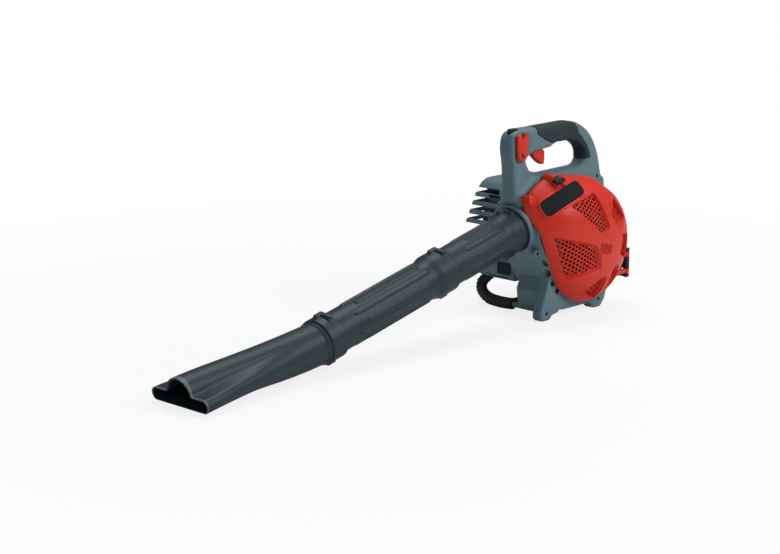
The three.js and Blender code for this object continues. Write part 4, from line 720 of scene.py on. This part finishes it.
screw_boss = lathed("screw_boss", at(KNOB_X, -52, KNOB_Z), Y,
                    [(3.6, 0), (8.6, 0), (9.6, 1.4), (9.8, 26), (3.6, 26), (3.6, 0)], 48)
knuckles = []
for low in (57, 90):
    root = math.sqrt(DOME_R ** 2 - (FAN_Z - low) ** 2) - 4
    arm = bevelled_block("hinge_arm", (HINGE_X - root, 6, 9), 1.2,
                         ((HINGE_X + root) / 2, HINGE_Y, low + 4.5))
    arm.data.transform(Matrix.Translation(home))
    eye = lathed("hinge_knuckle", at(HINGE_X, HINGE_Y, low), Z,
                 [(2.8, 0), (5.4, 0), (6, 0.7), (6, 8.3), (5.4, 9), (2.8, 9), (2.8, 0)], 40)
    knuckles += [arm, eye]
cover = joined(shell, pans, seat, recess, duct_side_lug, screw_boss, *knuckles)
cover = rounded_off(cover, 0.95, 1, 196000)
placed(cover, red_plastic, "cover", "red_plastic", "fan_cover")

# ---------- Badge plate: bare black plate on the cover's corner ----------
# A thin gloss-black plate with rounded corners, glued into the sunk seat of the cover. It
# carries no words.


def soft_edges(made, width):
    """Small rounded edges on a stamped or machined piece, its flats kept flat."""
    alone(made)
    bpy.ops.object.shade_smooth()
    edge = made.modifiers.new("edge", "BEVEL")
    edge.width, edge.segments = width / 1000, 3
    edge.limit_method, edge.angle_limit = "ANGLE", math.radians(38)
    flats = made.modifiers.new("flats", "WEIGHTED_NORMAL")
    flats.keep_sharp = False
    return made


gloss_black = moulded("gloss_black_film", (0.008, 0.013, 0.016), 0.4, 0.12, 0.05)
gloss_black.node_tree.nodes["Principled BSDF"].inputs["Specular IOR Level"].default_value = 0.12
badge = soft_edges(badge_form("badge_plate_blank", 0, 0.3, 2.3), 0.5)
placed(badge, gloss_black, "cover", "black_plastic", "badge_plate")

# ---------- Cover knob: black thumb screw on its red boss ----------
# A round hub with two finger wings turns a stem into the casing, which closes the cover
# against it.
OUTWARD = Vector((0, -1, 0))
hub = lathed("cover_thumb_screw", at(KNOB_X, -52.3, KNOB_Z), OUTWARD,
             [(0.1, 0), (7.4, 0), (8, 0.6), (8, 5), (7.2, 11.5), (5.6, 12.6), (0.1, 12.6)], 48)
stem = lathed("stem", at(KNOB_X, -25, KNOB_Z), OUTWARD, [(0.1, 0), (3, 0), (3, 28), (0.1, 28)], 32)
wings = bevelled_block("wings", (29, 11, 8.6), 3.4, (KNOB_X, -58.8, KNOB_Z))
wings.data.transform(Matrix.Translation(home))
thumb_screw = rounded_off(joined(hub, stem, wings), 0.6, 3)
placed(thumb_screw, black_plastic, "cover_screw", "black_plastic", "cover_knob")

# ---------- Rear hinge: black bracket and its steel pin ----------
# The bracket is moulded in black nylon, stands on the casing's back edge and holds the
# cover's two knuckles on one steel pin.


def metal(name, shade, roughness, brushing):
    """Bare metal with fine wear marks and uneven sheen."""
    material, place, surface = finish_named(name)
    cloud = place.node("TexNoise", Vector=place, Scale=90.0, Detail=6.0, Roughness=0.65)
    fine = place.node("TexNoise", Vector=place, Scale=900.0, Detail=3.0)
    dull = [c * 0.78 for c in shade]
    colour = cloud.node("ValToRGB", {"stops": [(0.35, dull), (0.65, shade)]}, Fac=cloud)
    place.tree.links.new(colour.socket, surface.inputs["Base Color"])
    rough = roughness - 0.08 + cloud * 0.18
    place.tree.links.new(rough.socket, surface.inputs["Roughness"])
    bump = place.node("Bump", Strength=brushing, Distance=0.0002, Height=fine)
    place.tree.links.new(bump.socket, surface.inputs["Normal"])
    surface.inputs["Metallic"].default_value = 1.0
    return material


steel = metal("zinc_plated_steel", (0.5, 0.51, 0.52), 0.32, 0.12)
dark_steel = metal("blackened_steel", (0.07, 0.07, 0.075), 0.42, 0.2)
alloy = metal("die_cast_alloy", (0.42, 0.43, 0.44), 0.55, 0.5)
bracket = rounded_off(copied("hinge_bracket_moulding", ["hinge_bracket"]), 0.6, 2)
placed(bracket, black_plastic, "housing", "black_plastic", "hinge_bracket")
pin = lathed("hinge_pin_rod", at(HINGE_X, HINGE_Y, 48), Z,
             [(0.1, 0), (2, 0), (2.5, 0.5), (2.5, 59.5), (2, 60), (0.1, 60)], 32)
placed(pin, steel, frame["nodes"]["hinge_pin"]["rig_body"], "steel", "hinge_pin")

# ---------- Casing screws: dark socket screws sunk in round pockets ----------
# Four of the screws that hold the halves show on the left: at the duct, in both feet and
# under the handle. Each has a hexagon socket.


def socket_screw(name, x, z, face, radius=4.0, deep=2.1):
    head = lathed(name, at(x, face, z), Y,
                  [(0.1, 0), (radius - 0.6, 0), (radius, 0.5), (radius, deep), (0.1, deep)], 40)
    key = radius * 0.52
    turns = [k * math.pi / 3 for k in range(6)]
    hexagon = [(x + key * math.cos(turn), z + key * math.sin(turn)) for turn in turns]
    return cut(head, prism("key", hexagon, face - 1, face + deep * 0.7))


for name, x, z, face in [
    ("case_screw_duct", -132, 130, -50),
    ("case_screw_foot", -110, 14, -56),
    ("case_screw_rear_foot", 44, 16, -56),
    ("case_screw_handle", 72, 246, -24),
]:
    screw = soft_edges(socket_screw(name + "_head", x, z, face + 0.6), 0.15)
    placed(screw, dark_steel, "housing", "steel", name)

# ---------- Handle grip: soft rubber over the palm side ----------
# The grip is overmoulded on the handle's bar and runs down the inside of the rear post. Its
# matt skin has a fine pebble that fills with dust.


def rubbery(name, shade, pebble):
    """Matt rubber: a fine pebble, paler where dust has settled."""
    material, place, surface = finish_named(name)
    pebbles = place.node("TexVoronoi", Vector=place, Scale=pebble)
    cloud = place.node("TexNoise", Vector=place, Scale=26.0, Detail=5.0)
    dusty = [c * 1.6 for c in shade]
    colour = cloud.node("ValToRGB", {"stops": [(0.35, shade), (0.8, dusty)]}, Fac=cloud)
    place.tree.links.new(colour.socket, surface.inputs["Base Color"])
    rough = 0.6 + cloud * 0.2
    place.tree.links.new(rough.socket, surface.inputs["Roughness"])
    bump = place.node("Bump", Strength=0.3, Distance=0.0003, Height=pebbles)
    place.tree.links.new(bump.socket, surface.inputs["Normal"])
    surface.inputs["Specular IOR Level"].default_value = 0.35
    return material


grip_rubber = rubbery("overmoulded_rubber", (0.013, 0.025, 0.027), 900.0)
hose_rubber = rubbery("hose_rubber", (0.012, 0.013, 0.014), 500.0)
grip = bent(rounded_off(copied("soft_grip", ["handle_grip"]), 1.1, 2))
placed(grip, grip_rubber, "housing", "rubber", "handle_grip")

# ---------- Throttle trigger, hold lever and stop switch ----------
# The red trigger hangs on a pin in the bar; the red two-pronged lever beside it holds the
# throttle at a set speed; the black rocker on top stops the engine.
trigger = rounded_off(copied("throttle_finger_lever", ["throttle_trigger"]), 0.6, 2)
placed(trigger, red_plastic, "trigger", "red_plastic", "throttle_trigger")
pivot = lathed("trigger_pivot", at(-96, -9.6, 326), Y,
               [(0.1, 0), (1.7, 0), (2, 0.3), (2, 18.9), (1.7, 19.2), (0.1, 19.2)], 28)
placed(pivot, steel, frame["nodes"]["trigger_pin"]["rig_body"], "steel", "trigger_pin")
LEVER_X, LEVER_Z, LEVER_WIDER = -145, 311, 0.22
lever = copied("throttle_hold_lever", ["cruise_lever"])
lever_ridge = bevelled_block("lever_ridge", (4, 3, 30), 1.4, (-143.5, -23.4, 324))
lever_ridge.data.transform(Matrix.Translation(home))
lever = joined(lever, lever_ridge)
for point in lever.data.vertices:
    point.co.x += (point.co.x - at(LEVER_X, 0, 0).x) * LEVER_WIDER
lever = rounded_off(lever, 0.6, 2)
placed(lever, red_plastic, "hold_lever", "red_plastic", "cruise_lever")
shank = lathed("shank", at(LEVER_X, -22, LEVER_Z), Y,
               [(0.1, 0), (2.3, 0), (2.3, 13), (0.1, 13)], 28)
screw = joined(socket_screw("lever_shoulder_screw", LEVER_X, LEVER_Z, -24.6, 4.2, 3.3), shank)
screw_body = frame["nodes"]["lever_screw"]["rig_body"]
placed(soft_edges(screw, 0.15), dark_steel, screw_body, "steel", "lever_screw")
switch = rounded_off(copied("engine_stop_switch", ["stop_switch"]), 0.5, 2)
placed(switch, black_plastic, "switch", "black_plastic", "stop_switch")

# ---------- Engine cover: slatted grey hood over the muffler ----------
# One thin moulding, open at its foot. Its slats let the cooling air out past the hot
# muffler.
hood = copied("slatted_engine_hood", ["engine_cover"])
open_foot = [(-160, 140), (-60, 140), (-60, 151.2), (-160, 151.2)]
hood = cut(hood, prism("open_foot", open_foot, 56, 220))
hood = rounded_off(hood, 1.15, 2)
placed(hood, grey_plastic, "housing", "grey_plastic", "engine_cover")

# ---------- Fuel tank with its cap and bare label ----------
# The tank hangs low under the engine. Its black cap has finger scallops; the label at the
# end is a plain black sticker.
tank = rounded_off(copied("fuel_tank_shell", ["fuel_tank"]), 1.3, 2)
placed(tank, grey_plastic, "housing", "grey_plastic", "fuel_tank")


def scalloped(made, centre, axes, beyond, count, depth, power):
    """Pinches a knob's outer ring, beyond a radius in mm, into finger scallops."""
    i, j = axes
    for point in made.data.vertices:
        away = point.co - centre
        if math.hypot(away[i], away[j]) > beyond / 1000:
            wave = 0.5 + 0.5 * math.cos(count * math.atan2(away[j], away[i]))
            pinch = 1 - depth * wave ** power
            point.co[i], point.co[j] = centre[i] + away[i] * pinch, centre[j] + away[j] * pinch
    return made


TANK_NECK = at(75, 121, 98)
cap = lathed("tank_cap_moulding", TANK_NECK, Z,
             [(0.1, -2), (8, -2), (8, 6.3), (14, 6.3), (14.5, 6.8), (14.5, 16.4), (13, 18), (9, 18),
              (8, 17), (0.1, 17)], 96)
cap = soft_edges(scalloped(cap, TANK_NECK, (0, 1), 12.5, 8, 0.07, 2), 0.25)
placed(cap, black_plastic, "tank_cap", "black_plastic", "fuel_cap")
label = bevelled_block("tank_label_blank", (0.7, 34, 24), 0.2, (-90.45, 67, 78))
label.data.transform(Matrix.Translation(home))
placed(label, gloss_black, "housing", "black_plastic", "label_plate")

# ---------- Recoil starter: slotted housing, rope and handle ----------
# The rope winds on the reel inside the round housing, leaves by the guide at the top and
# ends in a T handle that pulls it straight out.
SLOTS, SLOT_CORNERS = 6, ((20, -2.5), (44, -2.5), (44, 2.5), (20, 2.5))
drum = lathed("starter_drum", at(0, 0, FAN_Z), Y, [
    (50, 116), (50, 126), (49.4, 130), (46.4, 141.5), (44.5, 143.6), (36, 147.6), (34, 148),
    (14, 148), (12, 147.2), (3, 147.2), (3, 124), (6, 124), (6, 144.6), (41, 144.6), (46.6, 126),
    (46.6, 116), (50, 116)], 96)
centre_plug = lathed("centre_plug", at(0, 0, FAN_Z), Y,
                     [(0.1, 123.9), (5, 123.9), (5, 147.8), (0.1, 147.8)], 48)
for k in range(SLOTS):
    turn = 2 * k * math.pi / SLOTS
    c, s = math.cos(turn), math.sin(turn)
    slot_shape = [(a * c + b * s, FAN_Z + b * c - a * s) for a, b in SLOT_CORNERS]
    drum = cut(drum, prism("slot", slot_shape, 141, 160, 1.6))
guide = lathed("rope_guide", at(0, 131, 162), X,
               [(2.8, 33), (7, 33), (7, 61), (9.4, 62), (10, 62.7), (10, 65), (9, 66), (4.4, 66),
                (2.8, 64), (2.8, 33)], 56)
starter = rounded_off(joined(drum, centre_plug, guide), 1.0, 1)
placed(starter, black_plastic, "housing", "black_plastic", "starter_housing")


def braided(name, shade, thread):
    """Braided line: two sets of slanting threads over a round core."""
    material, place, surface = finish_named(name)
    wound = place.node("Mapping", Vector=place, Rotation=(0.6, 0.5, 0.6))
    one = place.node("TexWave", {"bands_direction": "X"}, Vector=wound, Scale=thread)
    two = place.node("TexWave", {"bands_direction": "Z"}, Vector=wound, Scale=thread)
    weave = one * two
    flecks = place.node("TexNoise", Vector=place, Scale=600.0)
    light = [min(1, c * 3) for c in shade]
    mixed = weave * 0.7 + flecks * 0.3
    colour = weave.node("ValToRGB", {"stops": [(0.2, shade), (0.8, light)]}, Fac=mixed)
    place.tree.links.new(colour.socket, surface.inputs["Base Color"])
    bump = place.node("Bump", Strength=0.5, Distance=0.0004, Height=weave)
    place.tree.links.new(bump.socket, surface.inputs["Normal"])
    rough = 0.75 + flecks * 0.15
    place.tree.links.new(rough.socket, surface.inputs["Roughness"])
    return material


ROPE_R, ROPE_LEN, ROPE_STEPS = 1.8, 72, 60
rope_rings = [(ROPE_R, k * ROPE_LEN / ROPE_STEPS) for k in range(ROPE_STEPS + 1)]
rope = lathed("starter_pull_rope", at(0, 131, 162), X, [(0.1, 0), *rope_rings, (0.1, ROPE_LEN)], 16)
rope.data.materials.clear()
rope.data.materials.append(braided("starter_rope_braid", (0.03, 0.032, 0.034), 420.0))
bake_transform(rope)
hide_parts("starter_rope")
pull = rounded_off(copied("starter_t_handle", ["starter_handle"]), 0.7, 3)
placed(pull, black_plastic, "pull_handle", "black_plastic", "starter_handle")

# ---------- Air cleaner: black cover, foam and knob at the back ----------
# The cleaner bolts on behind the carburettor: a shallow base, a foam pad and a domed cover
# held by one knob; the choke lever comes out beside it.
cleaner_cover = rounded_off(copied("air_cleaner_lid", ["air_cleaner_cover"]), 1.0, 3)
placed(cleaner_cover, black_plastic, "housing", "black_plastic", "air_cleaner_cover")
cleaner_base = rounded_off(copied("air_cleaner_tray", ["air_cleaner_base"]), 0.9, 1)
placed(cleaner_base, black_plastic, "housing", "black_plastic", "air_cleaner_base")
LID_MIDDLE = at(114, 84, 214)
cleaner_knob = lathed("air_cleaner_nut", LID_MIDDLE, X,
                      [(0.1, -31.7), (2, -31.7), (2, 0.3), (8.4, 0.3), (9, 0.9), (9, 6.6), (7.8, 8),
                       (0.1, 8)], 72)
cleaner_knob = soft_edges(scalloped(cleaner_knob, LID_MIDDLE, (1, 2), 7, 6, 0.08, 1), 0.25)
placed(cleaner_knob, black_plastic, "filter_knob", "black_plastic", "air_cleaner_knob")
choke = rounded_off(copied("choke_lever_moulding", ["choke_lever"]), 0.5, 2)
placed(choke, black_plastic, "choke", "black_plastic", "choke_lever")

# ---------- Stand: ridged black hoop beside the tank ----------
# A flat bar of black nylon leaves the casing low down, runs out along the ground and curls
# up to the tank. Cross ridges on its rising end keep it from slipping. A second arm goes back.


def along_line(points, share):
    """Place and heading on a smooth line through the points."""
    spot = min(share, 0.9999) * (len(points) - 1)
    k, f = int(spot), spot - int(spot)
    p, q, r, s = (Vector(points[min(max(k + i, 0), len(points) - 1)]) for i in (-1, 0, 1, 2))
    bend, twist = 2 * p - 5 * q + 4 * r - s, 3 * q - p - 3 * r + s
    place = (2 * q + (r - p) * f + bend * f ** 2 + twist * f ** 3) / 2
    return place, ((r - p) + 2 * bend * f + 3 * twist * f ** 2).normalized()


RIDGE_DEEP, SQUARENESS = 2.2, 0.55


def swept_bar(name, points, side, half_wide, half_deep, ridges, rings=150, sides=36):
    """A bar of rounded section drawn along a line. Ridges, given as the shares where they
    start and end and their number, cross its faces."""
    made = lathed(name, at(0, 0, 0), X,
                  [(0.1, 0), *((10, 1 + k) for k in range(rings)), (0.1, rings)], sides)
    for point in made.data.vertices:
        ring = min(max(round((point.co.x - home.x) * 1000) - 1, 0), rings - 1)
        share = ring / (rings - 1)
        place, heading = along_line(points, share)
        inward = heading.cross(Vector(side)).normalized()
        angle = math.atan2(point.co.z - home.z, point.co.y - home.y)
        c, s = math.cos(angle), math.sin(angle)
        away = min(1.0, math.hypot(point.co.y - home.y, point.co.z - home.z) * 100)
        groove = 0.0
        if ridges and ridges[0] < share < ridges[1]:
            turn = (share - ridges[0]) / (ridges[1] - ridges[0]) * ridges[2]
            groove = RIDGE_DEEP * (0.5 - 0.5 * math.cos(2 * math.pi * turn)) ** 3
        wide = half_wide * abs(c) ** SQUARENESS * math.copysign(1, c)
        deep = half_deep * abs(s) ** SQUARENESS * math.copysign(1, s)
        deep -= groove * math.copysign(1, s) * abs(s) ** 0.5
        point.co = home + (place + (Vector(side) * wide + inward * deep) * away) / 1000
    return made


hoop_line = [(-88, 45.3, 12), (-88, 78, 11), (-88, 106, 14), (-87, 124, 26), (-82, 128, 41),
             (-72, 118, 57)]
hoop = swept_bar("stand_hoop_bar", hoop_line, (1, 0, 0), 7.8, 10.6, (0.4, 0.94, 9))
arm_line = [(-86, 76, 10), (-44, 66, 9), (-6, 60, 20), (12, 60, 56)]
stand_arm = swept_bar("stand_arm", arm_line, (0, 1, 0), 5.8, 5.8, None, 90, 28)
TANK_FOOT_Z = 52.7
over_foot = [(-300, TANK_FOOT_Z), (300, TANK_FOOT_Z), (300, 90), (-300, 90)]
stand = cut(joined(hoop, stand_arm), prism("trim", over_foot, 30, 200))
placed(rounded_off(stand, 0.9, 1), black_plastic, "housing", "black_plastic", "stand_hoop")

# ---------- Primer bulb: soft dome on the carburettor ----------
# A black rubber dome that the thumb presses to draw fuel up before a cold start. It
# springs back by itself.
bulb = lathed("primer_dome", at(60, 101.3, 186), Y,
              [(0.1, 0), (8.6, 0), (9, 0.4), (9, 3), (8.4, 5.6), (7.2, 8), (5.4, 9.9), (3.2, 11.3),
               (1.4, 11.9), (0.1, 12)], 64)
bulb = soft_edges(bulb, 0.1)
placed(bulb, hose_rubber, "housing", "rubber", "primer_bulb")
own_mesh(bulb)

# ---------- Engine and running parts inside ----------
# Behind the hood sit the two-stroke engine with its muffler and carburettor, and inside the
# casing the fan: machined and cast parts with small broken edges, and their rubber hoses.
foam_sponge = rubbery("filter_foam", (0.02, 0.022, 0.024), 260.0)
inside = {"black_plastic": black_plastic, "rubber": hose_rubber, "steel": steel,
          "cast_alloy": alloy, "foam": foam_sponge}
slots = {row["node"]: row["material_slot"] for row in frame["record"]["subparts"]}
for name in ("impeller", "impeller_nut", "crankshaft_fan_end", "crankshaft_starter_end",
             "flywheel", "fan_side_bearing", "starter_side_bearing", "crankcase", "cylinder",
             "piston", "wrist_pin", "connecting_rod", "crank_pin", "spark_plug", "plug_cap",
             "ignition_coil", "muffler", "intake_spacer", "carburettor", "throttle_arm",
             "air_filter", "fuel_line", "return_line", "ignition_lead", "throttle_cable",
             "starter_reel", "starter_cup"):
    made = copied(name + "_finished", [name])
    edge = 0.25 if slots[name] in ("rubber", "foam") else 0.4
    soft_edges(made, edge)
    finish = dark_steel if name == "muffler" else inside[slots[name]]
    placed(made, finish, frame["nodes"][name]["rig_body"], slots[name], name)
